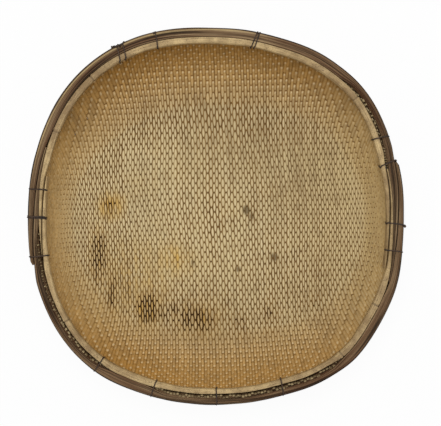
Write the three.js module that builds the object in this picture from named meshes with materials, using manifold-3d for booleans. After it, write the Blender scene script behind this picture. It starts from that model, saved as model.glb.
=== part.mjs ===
// A hand-woven harvest basket. One woven mat is pressed into a shallow bowl with a
// round-cornered square plan. Its edge stands up between a light inner hoop and a dark
// outer hoop, each made of two bent halves whose ends are lapped at the left and the
// right, and iron wire ties go round both hoops and through the mat.
// Millimetres, +Z up, origin on the floor under the middle of the basket.

import * as THREE from "three";
import { mergeVertices } from "three/addons/utils/BufferGeometryUtils.js";
import Module from "manifold-3d";

const wasm = await Module();
wasm.setup();

// Plan of the mat's standing edge, measured to the middle of the mat
const EDGE_HALF_WIDTH = 284.5; // along X
const EDGE_HALF_LENGTH = 286.8; // along Y
const SQUARENESS = 2.38; // exponent of the outline: 2 is an ellipse, more is squarer
const DENT_DEPTH = 6.4; // one corner is pressed in by this much
const DENT_ANGLE = 45; // degrees, anticlockwise from +X
const DENT_SPREAD = 28; // degrees over which the pressed corner fades out

// Mat
const DEPTH = 108; // floor to the tops of the hoops
const MAT_THICKNESS = 2.4; // two layers of strip
const EDGE_DROP = 1.5; // the cut edge lies this far below the hoop tops
const WALL_ANGLE = 60; // degrees from the floor
const FLOOR_BEND = 60; // radius where the floor turns up into the wall
const EDGE_BEND = 20; // radius where the wall turns up between the hoops
const TIE_ROOM = 5; // straight edge below the hoops that the wires go through

// Weave of the mat, inside: each raised column stands for about five warps, and the wefts
// show in its dips, which are staggered from one column to the next
const WEAVE_COLUMN = 24; // from one column to the next, along the mat
const WEAVE_FLOAT = 66; // from one dip of a column to the next, along the mat
const WEAVE_TURN = 2; // degrees that the weave lies askew
const DIP_WIDTH = 22;
const DIP_LENGTH = 14;
const DIP_DEPTH = 1.1;
const DIP_MARGIN = 12; // the dips stop this far in from the standing edge, below the hoops

// Outer hoop, dark
const OUTER_THICKNESS = 14;
const OUTER_HEIGHT = 28;
const OUTER_TIP = 1.2; // thickness of a half's tucked-in end
const OUTER_UNDER = 11.6; // thickness of a half under the other half's end
const OUTER_END = 5.3; // thickness of a half's outer, blunt end

// Inner hoop, light
const INNER_THICKNESS = 6.4;
const INNER_HEIGHT = 30;
const INNER_TIP = 1.5; // thickness of a half's thin ends
const INNER_UNDER = 5.4; // thickness of a half behind the other half's thin end

// Laps of the halves: degrees, anticlockwise from +X
const OUTER_LAP_RIGHT = { from: -21, to: 16.8 };
const OUTER_LAP_LEFT = { from: 158, to: 195.4 };
const INNER_LAP_RIGHT = { from: -17, to: 15.5 };
const INNER_LAP_LEFT = { from: 167, to: 193 };
const LAP_EASE = 5; // degrees over which a half comes back to its full thickness

// Clearances and edges
const HOOP_CLEARANCE = 0.3; // hoop to mat, and half to half in a lap
const HOOP_EDGE = 1.8; // the long edges of the hoops are worn off by this much

// Wire ties
const WIRE_DIAMETER = 1.6;
const WIRE_CLEARANCE = 0.5; // wire to hoop
const WIRE_HOLE_CLEARANCE = 0.4; // wire to the hole in the mat
const WIRE_PITCH = 2.3; // step along the rim from one turn to the next
const WIRE_TAIL = 10; // the two ends lie side by side over this length
const WIRE_SIDES = 6;
const TIES = [
  { name: "wire_tie_right_above_lap", angle: 25.3, turns: 1 },
  { name: "wire_tie_right_lap_end", angle: 15.2, turns: 1 },
  { name: "wire_tie_right_lap_middle", angle: -3, turns: 1 },
  { name: "wire_tie_right_lap_lower", angle: -11.3, turns: 1 },
  { name: "wire_tie_top_right", angle: 77.2, turns: 2 },
  { name: "wire_tie_top_left", angle: 108.8, turns: 1 },
  { name: "wire_knot_upper_left", angle: 119.8, turns: 3 },
  { name: "wire_tie_left_lap_upper", angle: 171.5, turns: 1 },
  { name: "wire_tie_left_lap_middle", angle: 180.2, turns: 1 },
  { name: "wire_tie_left_lap_end", angle: 192.8, turns: 1 },
  { name: "wire_tie_bottom_far_left", angle: 231.6, turns: 1 },
  { name: "wire_tie_bottom_left", angle: 250.1, turns: 1 },
  { name: "wire_tie_bottom_middle", angle: 270, turns: 1 },
  { name: "wire_tie_bottom_right", angle: 291, turns: 1 },
];

// Facets
const RING_STEP = 4; // degrees between the stations of the rings
const BEND_STEP = 10; // degrees between the rings of a bend

const material = (color, roughness, metalness) =>
  new THREE.MeshStandardMaterial({ color, roughness, metalness });
const STRIP = material(0xa58c62, 0.7, 0);
const PALE_BAMBOO = material(0xb29a70, 0.6, 0);
const DARK_BAMBOO = material(0x5c4a36, 0.65, 0);
const IRON = material(0x322a24, 0.6, 0.8);

const radians = THREE.MathUtils.degToRad;

// Plan outline of the mat's standing edge

function outlinePoint(angle) {
  const c = Math.cos(radians(angle));
  const s = Math.sin(radians(angle));
  const across = (Math.abs(c) / EDGE_HALF_WIDTH) ** SQUARENESS;
  const along = (Math.abs(s) / EDGE_HALF_LENGTH) ** SQUARENESS;
  const away = THREE.MathUtils.euclideanModulo(angle - DENT_ANGLE + 180, 360) - 180;
  const dent = DENT_DEPTH * Math.exp(-((away / DENT_SPREAD) ** 2));
  const radius = (across + along) ** (-1 / SQUARENESS) - dent;
  return new THREE.Vector3(radius * c, radius * s, 0);
}

function outlineNormal(angle) {
  const step = 0.01;
  const run = outlinePoint(angle + step).sub(outlinePoint(angle - step));
  return new THREE.Vector3(run.y, -run.x, 0).normalize();
}

const EDGE_MEAN = (EDGE_HALF_WIDTH + EDGE_HALF_LENGTH) / 2;

// Every ring shares one set of stations, so that the facets of neighbours stay parallel.
function ringAngles() {
  const laps = [OUTER_LAP_RIGHT, OUTER_LAP_LEFT, INNER_LAP_RIGHT, INNER_LAP_LEFT];
  const marks = laps.flatMap(({ from, to }) => [from - LAP_EASE, from, to, to + LAP_EASE]);
  const found = marks.map((mark) => THREE.MathUtils.euclideanModulo(mark, 360));
  for (let angle = 0; angle < 360; angle += RING_STEP) {
    const near = found.some((mark) => Math.abs(mark - angle) < RING_STEP / 4);
    if (!near) found.push(angle);
  }
  return found.sort((a, b) => a - b);
}
const STATIONS = ringAngles();

// Closed surface through a row of rings. The first and the last ring are closed by a
// flat fan, or meet in a point where they hold one point only.
function loft(rings, round) {
  const points = rings.flat();
  const starts = rings.map((ring, i) => rings.slice(0, i).reduce((n, r) => n + r.length, 0));
  const faces = [];
  const triangle = (a, b, c) => a !== b && b !== c && c !== a && faces.push(a, b, c);
  for (let i = 0; i + 1 < rings.length; i++) {
    const count = Math.max(rings[i].length, rings[i + 1].length);
    const at = (ring, k) => starts[ring] + (k % count) % rings[ring].length;
    for (let k = 0; k < count; k++) {
      triangle(at(i, k), at(i, k + 1), at(i + 1, k + 1));
      triangle(at(i, k), at(i + 1, k + 1), at(i + 1, k));
    }
  }
  if (!round) {
    const last = rings.length - 1;
    for (let k = 1; k + 1 < rings[0].length; k++) {
      triangle(starts[0], starts[0] + k + 1, starts[0] + k);
      triangle(starts[last], starts[last] + k, starts[last] + k + 1);
    }
  }
  const geometry = new THREE.BufferGeometry().setFromPoints(points);
  geometry.setIndex(faces);
  geometry.computeVertexNormals();
  return geometry;
}

// Joins and cuts

function toSolid(geometry) {
  const bare = geometry.clone();
  for (const name of ["normal", "uv"]) bare.deleteAttribute(name);
  const merged = mergeVertices(bare, 1e-3);
  const vertProperties = new Float32Array(merged.attributes.position.array);
  const triVerts = new Uint32Array(merged.index.array);
  return new wasm.Manifold(new wasm.Mesh({ numProp: 3, vertProperties, triVerts }));
}

function toGeometry(solid) {
  const { vertProperties, triVerts } = solid.getMesh();
  const geometry = new THREE.BufferGeometry();
  geometry.setAttribute("position", new THREE.BufferAttribute(vertProperties, 3));
  geometry.setIndex(new THREE.BufferAttribute(triVerts, 1));
  geometry.computeVertexNormals();
  return geometry;
}

// Woven mat

// The middle of the mat from its cut edge down to the floor: how far in from the
// standing edge, how high, and how steep.
function matProfile() {
  const wall = radians(WALL_ANGLE);
  const floorLevel = MAT_THICKNESS / 2;
  const bendTop = DEPTH - Math.max(OUTER_HEIGHT, INNER_HEIGHT) - TIE_ROOM;
  const bendFoot = bendTop - EDGE_BEND * Math.cos(wall);
  const wallFoot = floorLevel + FLOOR_BEND * (1 - Math.cos(wall));
  const wallTopInset = EDGE_BEND * (1 - Math.sin(wall));
  const wallFootInset = wallTopInset + (bendFoot - wallFoot) / Math.tan(wall);
  const steps = Math.ceil((90 - WALL_ANGLE) / BEND_STEP);
  const floorSteps = Math.ceil(WALL_ANGLE / BEND_STEP);
  const profile = [{ inset: 0, height: DEPTH - EDGE_DROP, slope: Math.PI / 2 }];
  for (let i = 0; i <= steps; i++) {
    const slope = Math.PI / 2 - ((Math.PI / 2 - wall) * i) / steps;
    const inset = EDGE_BEND * (1 - Math.sin(slope));
    profile.push({ inset, height: bendTop - EDGE_BEND * Math.cos(slope), slope });
  }
  for (let i = 0; i <= floorSteps; i++) {
    const slope = wall * (1 - i / floorSteps);
    const inset = wallFootInset + FLOOR_BEND * (Math.sin(wall) - Math.sin(slope));
    profile.push({ inset, height: floorLevel + FLOOR_BEND * (1 - Math.cos(slope)), slope });
  }
  return profile;
}

function matRing({ inset, height, slope }, side) {
  const shift = (side * MAT_THICKNESS) / 2;
  const scale = 1 - inset / EDGE_MEAN;
  return STATIONS.map((angle) => {
    const out = outlineNormal(angle).multiplyScalar(shift * Math.sin(slope));
    const point = outlinePoint(angle).multiplyScalar(scale).add(out);
    return point.setZ(height - shift * Math.cos(slope));
  });
}

// How far from the middle, in plan, a length laid along the mat reaches, where the
// standing edge is a half size away.
function planReach(profile, length, half) {
  const scale = half / EDGE_MEAN;
  let reach = half - scale * profile.at(-1).inset;
  let left = Math.abs(length) - reach;
  if (left <= 0) return length;
  for (let i = profile.length - 1; i > 0 && left > 0; i--) {
    const run = scale * (profile[i].inset - profile[i - 1].inset);
    const span = Math.hypot(run, profile[i - 1].height - profile[i].height);
    reach += run * Math.min(1, left / span);
    left -= span;
  }
  return Math.sign(length) * reach;
}

// How far in from the standing edge a place in plan lies.
function insetAt(place) {
  const angle = THREE.MathUtils.radToDeg(Math.atan2(place.y, place.x));
  return EDGE_MEAN * (1 - place.length() / outlinePoint(angle).length());
}

// The point of the mat's inside over a place in plan, or that deep in the mat.
function insidePoint(profile, place, depth) {
  const inset = Math.min(insetAt(place), profile.at(-1).inset);
  const next = Math.max(1, profile.findIndex((step) => step.inset >= inset - 1e-9));
  const [a, b] = [profile[next - 1], profile[next]];
  const share = (inset - a.inset) / (b.inset - a.inset);
  const height = THREE.MathUtils.lerp(a.height, b.height, share);
  const slope = THREE.MathUtils.lerp(a.slope, b.slope, share);
  const angle = THREE.MathUtils.radToDeg(Math.atan2(place.y, place.x));
  const shift = depth - MAT_THICKNESS / 2;
  const out = outlineNormal(angle).multiplyScalar(shift * Math.sin(slope));
  return place.clone().add(out).setZ(height - shift * Math.cos(slope));
}

// One cutter for each dip that lies wholly below the hoops.
function weaveDips(profile) {
  const up = new THREE.Vector3(0, 0, 1);
  const columns = Math.ceil((EDGE_MEAN + DEPTH) / WEAVE_COLUMN);
  const floats = Math.ceil((EDGE_MEAN + DEPTH) / WEAVE_FLOAT);
  const dips = [];
  for (let column = -columns; column <= columns; column++) {
    const stagger = column % 2 === 0 ? 0 : 0.5;
    for (let float = -floats; float <= floats; float++) {
      const places = [[-1, -1], [1, -1], [1, 1], [-1, 1]].map(([side, end]) => {
        const across = column * WEAVE_COLUMN + (side * DIP_WIDTH) / 2;
        const along = (float + stagger) * WEAVE_FLOAT + (end * DIP_LENGTH) / 2;
        const x = planReach(profile, across, EDGE_HALF_WIDTH);
        const y = planReach(profile, along, EDGE_HALF_LENGTH);
        return new THREE.Vector3(x, y, 0).applyAxisAngle(up, radians(WEAVE_TURN));
      });
      if (places.some((place) => insetAt(place) < DIP_MARGIN)) continue;
      const cutter = [DIP_DEPTH, -DIP_DEPTH].map((depth) =>
        places.map((place) => insidePoint(profile, place, depth)),
      );
      dips.push(loft(cutter, false));
    }
  }
  return dips;
}

function wovenMat(wireHoles) {
  const profile = matProfile();
  const outside = profile.map((step) => matRing(step, 1)).reverse();
  const inside = profile.map((step) => matRing(step, -1));
  const under = [new THREE.Vector3(0, 0, 0)];
  const floor = [new THREE.Vector3(0, 0, MAT_THICKNESS)];
  const bowl = toSolid(loft([under, ...outside, ...inside, floor], true));
  const cuts = [...weaveDips(profile), ...wireHoles];
  return toGeometry(cuts.reduce((solid, cut) => solid.subtract(toSolid(cut)), bowl));
}

// Hoops

// Near and far faces of each half, measured from the mat, at a few angles. In a lap the
// two halves share one slanting line with a clearance between them.
function outerHalf(start, finish) {
  const under = OUTER_UNDER + HOOP_CLEARANCE;
  return [
    { angle: start.from, near: 0, far: OUTER_TIP },
    { angle: start.to, near: 0, far: OUTER_UNDER },
    { angle: start.to + LAP_EASE, near: 0, far: OUTER_THICKNESS },
    { angle: finish.from - LAP_EASE, near: 0, far: OUTER_THICKNESS },
    { angle: finish.from, near: OUTER_TIP + HOOP_CLEARANCE, far: OUTER_THICKNESS },
    { angle: finish.to, near: under, far: under + OUTER_END },
  ];
}

function innerHalf(start, finish) {
  const over = INNER_UNDER + HOOP_CLEARANCE;
  const tip = INNER_TIP + HOOP_CLEARANCE;
  return [
    { angle: start.from, near: over, far: over + INNER_TIP },
    { angle: start.to, near: tip, far: tip + INNER_UNDER },
    { angle: start.to + LAP_EASE, near: 0, far: INNER_THICKNESS },
    { angle: finish.from - LAP_EASE, near: 0, far: INNER_THICKNESS },
    { angle: finish.from, near: 0, far: INNER_UNDER },
    { angle: finish.to, near: 0, far: INNER_TIP },
  ];
}

const turned = ({ from, to }) => ({ from: from + 360, to: to + 360 });
const OUTER = {
  side: 1,
  height: OUTER_HEIGHT,
  halves: [
    outerHalf(OUTER_LAP_RIGHT, OUTER_LAP_LEFT),
    outerHalf(OUTER_LAP_LEFT, turned(OUTER_LAP_RIGHT)),
  ],
};
const INNER = {
  side: -1,
  height: INNER_HEIGHT,
  halves: [
    innerHalf(INNER_LAP_RIGHT, INNER_LAP_LEFT),
    innerHalf(INNER_LAP_LEFT, turned(INNER_LAP_RIGHT)),
  ],
};

function facesAt(half, angle) {
  const next = Math.max(1, half.findIndex((mark) => mark.angle >= angle));
  const [a, b] = [half[next - 1], half[next]];
  const share = (angle - a.angle) / (b.angle - a.angle);
  const { lerp } = THREE.MathUtils;
  return { near: lerp(a.near, b.near, share), far: lerp(a.far, b.far, share) };
}

// The stations of a half, counted on past 360 degrees where the half goes on.
function halfAngles(half) {
  const [first, last] = [half[0].angle, half.at(-1).angle];
  const all = [-360, 0, 360].flatMap((turn) => STATIONS.map((angle) => angle + turn));
  const inside = all.filter((angle) => angle > first + 1e-6 && angle < last - 1e-6);
  return [first, ...inside, last];
}

function hoopSection(hoop, half, angle) {
  const { near, far } = facesAt(half, angle);
  const edge = Math.min(HOOP_EDGE, 0.45 * (far - near));
  const [low, high] = [DEPTH - hoop.height, DEPTH];
  const corners = [
    [near, low + edge], [near + edge, low], [far - edge, low], [far, low + edge],
    [far, high - edge], [far - edge, high], [near + edge, high], [near, high - edge],
  ];
  const face = MAT_THICKNESS / 2 + HOOP_CLEARANCE;
  const section = corners.map(([depth, z]) => {
    const out = outlineNormal(angle).multiplyScalar(hoop.side * (face + depth));
    return outlinePoint(angle).add(out).setZ(z);
  });
  return hoop.side > 0 ? section.reverse() : section;
}

function hoopHalf(hoop, half) {
  const rings = halfAngles(half).map((angle) => hoopSection(hoop, half, angle));
  return loft(rings, false);
}

// Wire ties

// How far a hoop reaches from the mat at an angle, over the width of a tie.
function hoopReach(hoop, angle, spread) {
  const turns = [-360, 0, 360];
  const probes = [-spread, 0, spread].flatMap((step) => turns.map((t) => angle + step + t));
  const depths = hoop.halves.flatMap((half) =>
    probes
      .filter((at) => at >= half[0].angle && at <= half.at(-1).angle)
      .map((at) => facesAt(half, at).far),
  );
  return MAT_THICKNESS / 2 + HOOP_CLEARANCE + Math.max(...depths);
}

// A round-cornered loop round both hoops, wound along the rim: up the outside, over
// the top, down the inside, and out through the mat below the hoops.
function tiePoints({ angle, turns }) {
  const off = WIRE_CLEARANCE + WIRE_DIAMETER / 2;
  const bend = 1.5 * off;
  const width = turns * WIRE_PITCH;
  const spread = THREE.MathUtils.radToDeg(width / EDGE_HALF_WIDTH);
  const out = hoopReach(OUTER, angle, spread) + off;
  const inn = -hoopReach(INNER, angle, spread) - off;
  const top = DEPTH + off;
  const low = DEPTH - Math.max(OUTER_HEIGHT, INNER_HEIGHT) - off;
  const middle = DEPTH - OUTER_HEIGHT / 2;
  const corners = [
    { x: out - bend, z: top - bend, turn: 0 },
    { x: inn + bend, z: top - bend, turn: 90 },
    { x: inn + bend, z: low + bend, turn: 180 },
    { x: out - bend, z: low + bend, turn: 270 },
  ];
  const path = [{ x: out, z: middle - WIRE_TAIL / 2 }];
  for (let turn = 0; turn < turns; turn++) {
    for (const corner of corners) {
      for (let lean = 0; lean <= 90; lean += 30) {
        const at = radians(corner.turn + lean);
        path.push({ x: corner.x + bend * Math.cos(at), z: corner.z + bend * Math.sin(at) });
      }
    }
  }
  path.push({ x: out, z: middle + WIRE_TAIL / 2 });
  const home = outlinePoint(angle);
  const normal = outlineNormal(angle);
  const run = new THREE.Vector3(-normal.y, normal.x, 0);
  return path.map(({ x, z }, i) => {
    const step = WIRE_PITCH * turns * (i / (path.length - 1) - 0.5);
    const point = home.clone().addScaledVector(normal, x).addScaledVector(run, step);
    return point.setZ(z);
  });
}

// A path whose stations are exactly the given points.
class StationPath extends THREE.Curve {
  constructor(points) {
    super();
    this.points = points;
  }
  getPoint(t, target = new THREE.Vector3()) {
    const place = t * (this.points.length - 1);
    const first = Math.min(Math.floor(place), this.points.length - 2);
    return target.lerpVectors(this.points[first], this.points[first + 1], place - first);
  }
  getUtoTmapping(u) {
    return u;
  }
}

function wireAlong(points, radius) {
  const section = new THREE.Shape();
  for (let i = 0; i < WIRE_SIDES; i++) {
    const at = (2 * Math.PI * i) / WIRE_SIDES;
    const [x, y] = [radius * Math.cos(at), radius * Math.sin(at)];
    if (i === 0) section.moveTo(x, y);
    else section.lineTo(x, y);
  }
  return new THREE.ExtrudeGeometry(section, {
    steps: points.length - 1,
    bevelEnabled: false,
    extrudePath: new StationPath(points),
  });
}

// The least gap between the turns of one wire, over points further apart along it than
// a bend is long.
function leastGap(points) {
  let least = Infinity;
  for (let i = 0; i < points.length; i++) {
    for (let k = i + 8; k < points.length; k++) {
      least = Math.min(least, points[i].distanceTo(points[k]) - WIRE_DIAMETER);
    }
  }
  return least;
}

// Assembly

const basket = new THREE.Group();
basket.name = "harvest_basket";
const place = (name, geometry, look) => {
  const mesh = new THREE.Mesh(geometry, look);
  mesh.name = name;
  basket.add(mesh);
};

const routes = TIES.map((tie) => tiePoints(tie));
const holeRadius = WIRE_DIAMETER / 2 + WIRE_HOLE_CLEARANCE;
place("woven_mat", wovenMat(routes.map((route) => wireAlong(route, holeRadius))), STRIP);
place("outer_hoop_top_half", hoopHalf(OUTER, OUTER.halves[0]), DARK_BAMBOO);
place("outer_hoop_bottom_half", hoopHalf(OUTER, OUTER.halves[1]), DARK_BAMBOO);
place("inner_hoop_top_half", hoopHalf(INNER, INNER.halves[0]), PALE_BAMBOO);
place("inner_hoop_bottom_half", hoopHalf(INNER, INNER.halves[1]), PALE_BAMBOO);
TIES.forEach((tie, i) => {
  place(tie.name, wireAlong(routes[i], WIRE_DIAMETER / 2), IRON);
  if (tie.turns > 1) console.log(tie.name, "least gap to itself", leastGap(routes[i]).toFixed(2));
});

// The origin lies under the middle of the finished basket.
const footprint = new THREE.Box3().setFromObject(basket);
const middle = footprint.getCenter(new THREE.Vector3());
basket.position.set(-middle.x, -middle.y, -footprint.min.z);

const part = new THREE.Group();
part.add(basket);

export default part;
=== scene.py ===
"""Looks of the harvest basket: a mat woven strip by strip, two bent hoops and their wire ties."""
import math
from dataclasses import dataclass

import bpy
import numpy as np
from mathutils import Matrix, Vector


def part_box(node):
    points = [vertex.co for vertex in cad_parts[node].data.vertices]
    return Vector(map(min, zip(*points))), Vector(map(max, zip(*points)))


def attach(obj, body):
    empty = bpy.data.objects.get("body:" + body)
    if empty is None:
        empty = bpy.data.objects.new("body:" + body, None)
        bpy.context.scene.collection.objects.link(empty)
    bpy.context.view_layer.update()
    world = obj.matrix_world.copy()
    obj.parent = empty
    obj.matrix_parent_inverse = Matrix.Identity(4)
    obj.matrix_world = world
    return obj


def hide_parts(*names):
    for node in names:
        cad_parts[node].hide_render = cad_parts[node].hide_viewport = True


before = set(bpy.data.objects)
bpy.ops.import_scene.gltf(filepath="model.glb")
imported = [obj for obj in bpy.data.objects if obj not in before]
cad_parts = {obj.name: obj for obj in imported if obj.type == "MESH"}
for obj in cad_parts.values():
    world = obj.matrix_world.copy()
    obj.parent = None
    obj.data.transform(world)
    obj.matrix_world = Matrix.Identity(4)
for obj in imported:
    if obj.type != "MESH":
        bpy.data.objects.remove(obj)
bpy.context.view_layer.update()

# Lengths are in millimetres, and angles in degrees from the right of the photograph, anticlockwise
MM = 0.001

# Plan of the mat's standing edge, to the middle of the mat
EDGE_HALF_WIDTH = 284.5
EDGE_HALF_LENGTH = 286.8
SQUARENESS = 2.38
# The corner that is pressed in, and the hoops' small bends: angle, spread and how far out or in
RIM_BENDS = (
    (45, 28, -6.4),
    (20, 8, -2.4),
    (41, 8, 2.1),
    (70, 10, -3.3),
    (113, 15, 2.4),
    (152, 14, -1.4),
    (206, 14, -0.9),
    (245, 9, -2.3),
    (268, 7, 0.9),
    (291, 8, -2.8),
    (314, 7, 2.7),
    (339, 8, 2.5),
)

# Bowl of the mat
DEPTH = 108
MAT_THICKNESS = 2.4
EDGE_DROP = 1.5
WALL_ANGLE = 60
FLOOR_BEND = 60
EDGE_BEND = 20
TIE_ROOM = 5
STEEPEST = 89.5

# Weave: warps run up the photo and are broad, wefts run across and are narrow
WEAVE_TURN = 2.0
WARP_PITCH = 5.0
WARP_NARROWING = 0.3
WARP_WALL_NARROWING = 0.15
WARP_WALL_SHARES = (0.55, 0.8)
WARP_JITTER = 0.09
WARP_COVER = 1.04
WARP_SWING = 0.85
WEFT_PITCH = 8.3
WEFT_WIDENING = 0.3
WEFT_JITTER = 0.06
WEFT_COVER = 0.33
WEFT_SWING = 0.2
STRIP_THICKNESS = 1.0
MAT_LIFT = 0.2
# A strip's section, rounded on its upper face, as shares of half its width and half its thickness
STRIP_SECTION = np.array([
    (-1, -0.55), (-0.86, 0.35), (-0.5, 0.85), (0, 1), (0.5, 0.85), (0.86, 0.35), (1, -0.55), (0, -1),
])
# A warp's floats: how sharply it dips, how its width swells between dips, how far dips stray,
# where the painted highlights at its tips lie and how its tone varies
DIP_LENGTH = 0.17
WALL_DIP_LENGTH = 0.11
LENS = 0.4
WALL_LENS = 0.08
STRAY = 0.22
STRAY_HEIGHTS = (8, 40)
TIP_PLACE = 0.28
TIP_LENGTH = 0.12
FLOAT_TONE = 0.55
# Limits of a strip's width where the weave fans out, and how it overlaps its neighbours on the wall
SPREAD_LIMITS = (0.9, 3.2)
HALF_WIDTH_LIMITS = (0.5, 3.4)
WIDTH_UNEVEN = 0.05
WIDTH_RUN = 45
WALL_OVERLAP = 0.14
OVERLAP_HEIGHTS = (4, 46)
# How far in from the edge the weave lies smoother: at the top and bottom, the left and elsewhere,
# and by how much
CALM_UPRIGHT = 60
CALM_UPRIGHT_POWER = 4
CALM_LEFT = 45
CALM_LEFT_POWER = 8
CALM_NARROW = 20
CALM_FULL = 0.25
WARP_CALM = 0.6
WEFT_CALM = 0.5
# How the strips bow inward, fan out up the corners and wander
BOW = 0.14
BOW_POWER = 2.5
FAN = 1.0
FAN_FOOT = 0.72
FAN_LIMIT = 1.3
WANDER = 4.0
WANDER_LENGTH = 45
WANDER_WAVES = 6
# Cut ends that stand between the hoops
RISER_STEP = 6
CLOSED_DROP = 8
END_JITTER = 3.8
END_LEAN = (1.0, 6.2)
END_WIDTH = 0.68
END_THICKNESS = 1.9
# Level strips at the mat's edge
EDGE_STRIP_WIDTH = 5.2
EDGE_STRIP_THINNESS = 2 / 3
EDGE_STRIP_ROWS = 3
EDGE_STRIP_INSETS = (0.5, 2.0, 4.5, 7.0)
EDGE_STRIP_BACK = 1.0
# Edge strips take the wall's brown and the side colour, and are darkened with dirt and painted shade
EDGE_STRIP_MARKS = {"wall": 0.6, "side": 0.5, "dirt_and_shade": 0.6}
# Where the strips' shapes are worked out
REACH_LIMIT = 330
REACH_STEP = 0.5
RIM_SHARE = 0.9995
SHORTEST_STRIP = 10
SPARE_CROSSINGS = 3
DIP_STATIONS = (-0.3, -0.12, 0, 0.12, 0.3, 0.6, 1.0, 1.4)
WEFT_STEPS = 2
END_CLEAR = 0.05
ARC_SAMPLES = 2001
ANGLE_PROBE = 0.01
PLAN_PROBE = 0.5

# Brown of the wall: the side it faces, how closely it keeps to it, strength, and how far in it reaches
WALL_TINTS = (
    (90, 2, 0.95, 98),
    (270, 2, 0.9, 92),
    (180, 2, 0.75, 42),
    (0, 2, 0.25, 38),
    (135, 8, 0.1, 18),
)
CORNER_TINT = 0.2
WALL_FULL = 8
WALL_FADE = 0.52
WALL_WEAVE_FADE = 0.45

# How the strips are worn and soiled, with painted shade in their slits, hollows and standing ends and a
# painted highlight on their crests and tips. Pairs are the values between which a mark sets in or is
# drawn, single values are shares of its strength
WARP_SUNK = (-0.3, 0.8)
WEFT_SUNK = (-0.9, 0.1)
HOLLOW_CALM = 0.7
HOLLOW_CALM_SIDES = 0.6
HOLLOW_STEEP = 0.55
SLIT_FROM = 0.5
SLIT_WIDER = 0.2
SLIT_CALM = 0.6
DIRT_STEEP = 0.1
DIRT_SIDE = 0.45
DEEP_ACROSS = (0.1, 0.8)
LINE_ACROSS = (0.2, 0.85)
LINE_HOLLOW = 0.5
BROWN_SOAK = 2.2
GRIME_SOAK = 0.7
# Crests of the floats are paler as wear and as a painted highlight, and their tips as a painted
# highlight
CREST_PHASES = (-0.2, 0.8)
CREST_IN_STAINS = 0.6
CREST_STEEP = 0.5
CREST_TINT = 0.9
TIP_POWER = 1.5
TIP_SIDE = 0.5
TIP_LEAST = 0.45
TIP_TINT = 0.3
SIDE_SHARES = (0.25, 0.8)
WEFT_BROWN = 0.85
# The ends that stand between the hoops are painted dark as shade
STANDING_SHARES = (0.02, 0.2)
CUT_SHARES = (0.7, 1)
CUT_PALENESS = (0.25, 1)
BLEACH_MIDDLE = (-45, -12)
BLEACH_REACH = (110, 265)
BLEACH_TAKE = (0.2, 1)
STAIN_TAKE = (0.5, 1.3)
STAIN_UNEVEN = 0.5
STAIN_RUN = 5


@dataclass
class Slat:
    """The slat that a hoop is bent from.

    Side is 1 outside the mat and -1 inside it. Its far edges are rounded by edge across and by crown
    up and down. Towards its foot it is thinner by taper, and its fibres stand out by ridge.
    """

    side: int
    height: float
    edge: float
    crown: float
    taper: float
    ridge: float


# Hoops: how thick a half is, at its thin tip, where the other half laps over it and at its cut end
OUTER_SLAT = Slat(side=1, height=28, edge=3.0, crown=3.5, taper=1.0, ridge=0.45)
OUTER_THICKNESS = 14
OUTER_TIP = 1.2
OUTER_UNDER = 11.6
OUTER_END = 5.3
OUTER_END_TAPER = 1.2
INNER_SLAT = Slat(side=-1, height=30, edge=2.6, crown=5.0, taper=3.6, ridge=0.35)
INNER_THICKNESS = 9.0
INNER_TIP = 1.5
INNER_UNDER = 7.0
INNER_LAP_GAP = 2.8
# Angles between which two halves lap
OUTER_LAP_RIGHT = (-21, 16.8)
OUTER_LAP_LEFT = (158, 195.4)
INNER_LAP_RIGHT = (-17, 15.5)
INNER_LAP_LEFT = (167, 193)
LAP_EASE = 5
HOOP_CLEARANCE = 0.3
HOOP_STEP = 0.3
# Points of a slat's section along its top, along its side and round each corner, and the cosine
# from which one faces straight up or out
SECTION_POINTS = (14, 7, 6)
STRAIGHT = 0.99
# Rounding of a slat's near edges, and most rounding of both as shares of its thickness
NEAR_ROUND = 0.7
NEAR_ROUND_SHARE = 0.2
FAR_ROUND_SHARE = 0.62
# Thickness from which its relief is full, how unevenly its top and fibres run, and the lengths and
# sizes of the knife's facets
FULL_THICKNESS = 6
TOP_WAVE = 0.4
TOP_WAVE_LENGTH = 110
RIDGE_LENGTH = 55
WHITTLING = ((90, 0.6), (27, 0.45))
# Grooves along the dark hoop's top, darkened inside as painted shade, and the dark line of painted
# shade along its outer edge
GROOVES = (-0.6, -0.2, 0.2, 0.62)
GROOVE_DEPTH = 1.3
GROOVE_WIDTH = 0.1
GROOVE_WANDER = 0.2
GROOVE_WANDER_LENGTH = 130
GROOVE_STRENGTH = 0.55
GROOVE_FADING = 0.45
GROOVE_FADING_LENGTH = 90
EDGE_LINE_UP = (0, 0.2)
EDGE_LINE_OUT = (0.1, 0.45)
EDGE_LINE = 0.85
EDGE_LINE_FADING = 0.3
EDGE_LINE_LENGTH = 40
# The pale line of skin left on the dark hoop
SKIN_ZONE = (74, 172)
SKIN_FADE = 15
SKIN_PLACE = 0.83
SKIN_WIDTH = 0.2
# Swollen joints of the pale hoop
JOINT_ANGLES = (39.6, 131.6, 151.9, 214.5, 311.7, 330.4)
JOINT_HEIGHT = 0.8
JOINT_WIDTH = 2.4
JOINT_NOTCH = 1.3
# Where the hoops stand apart: from and to which angle, how far the outer and inner one give way,
# and how far up the strips' ends come
OPEN_ZONES = ((17, 45, 5.2, -0.9, 0.8), (186, 233, 4.6, 0.6, 0.9), (251, 310, 4.9, 0.9, 1.0))
OPEN_FADE = 4
OPEN_HEIGHTS = (0.1, 0.9)
OPEN_DEPTH = 1.5
CLOSING = 1.0
# Tone along the hoops, with painted shade at the corners, redder stretches of both and browner ones of
# the pale hoop
TONE_MIDDLE = 0.5
TONE_WAVE = 0.35
CORNER_SHADE = 0.35
RED_TONE = 0.6
RED_ZONES = ((28, 72), (206, 246), (294, 338))
BROWN_TONE = 1.3
BROWN_ZONES = ((-17, 13), (116, 156))

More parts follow.
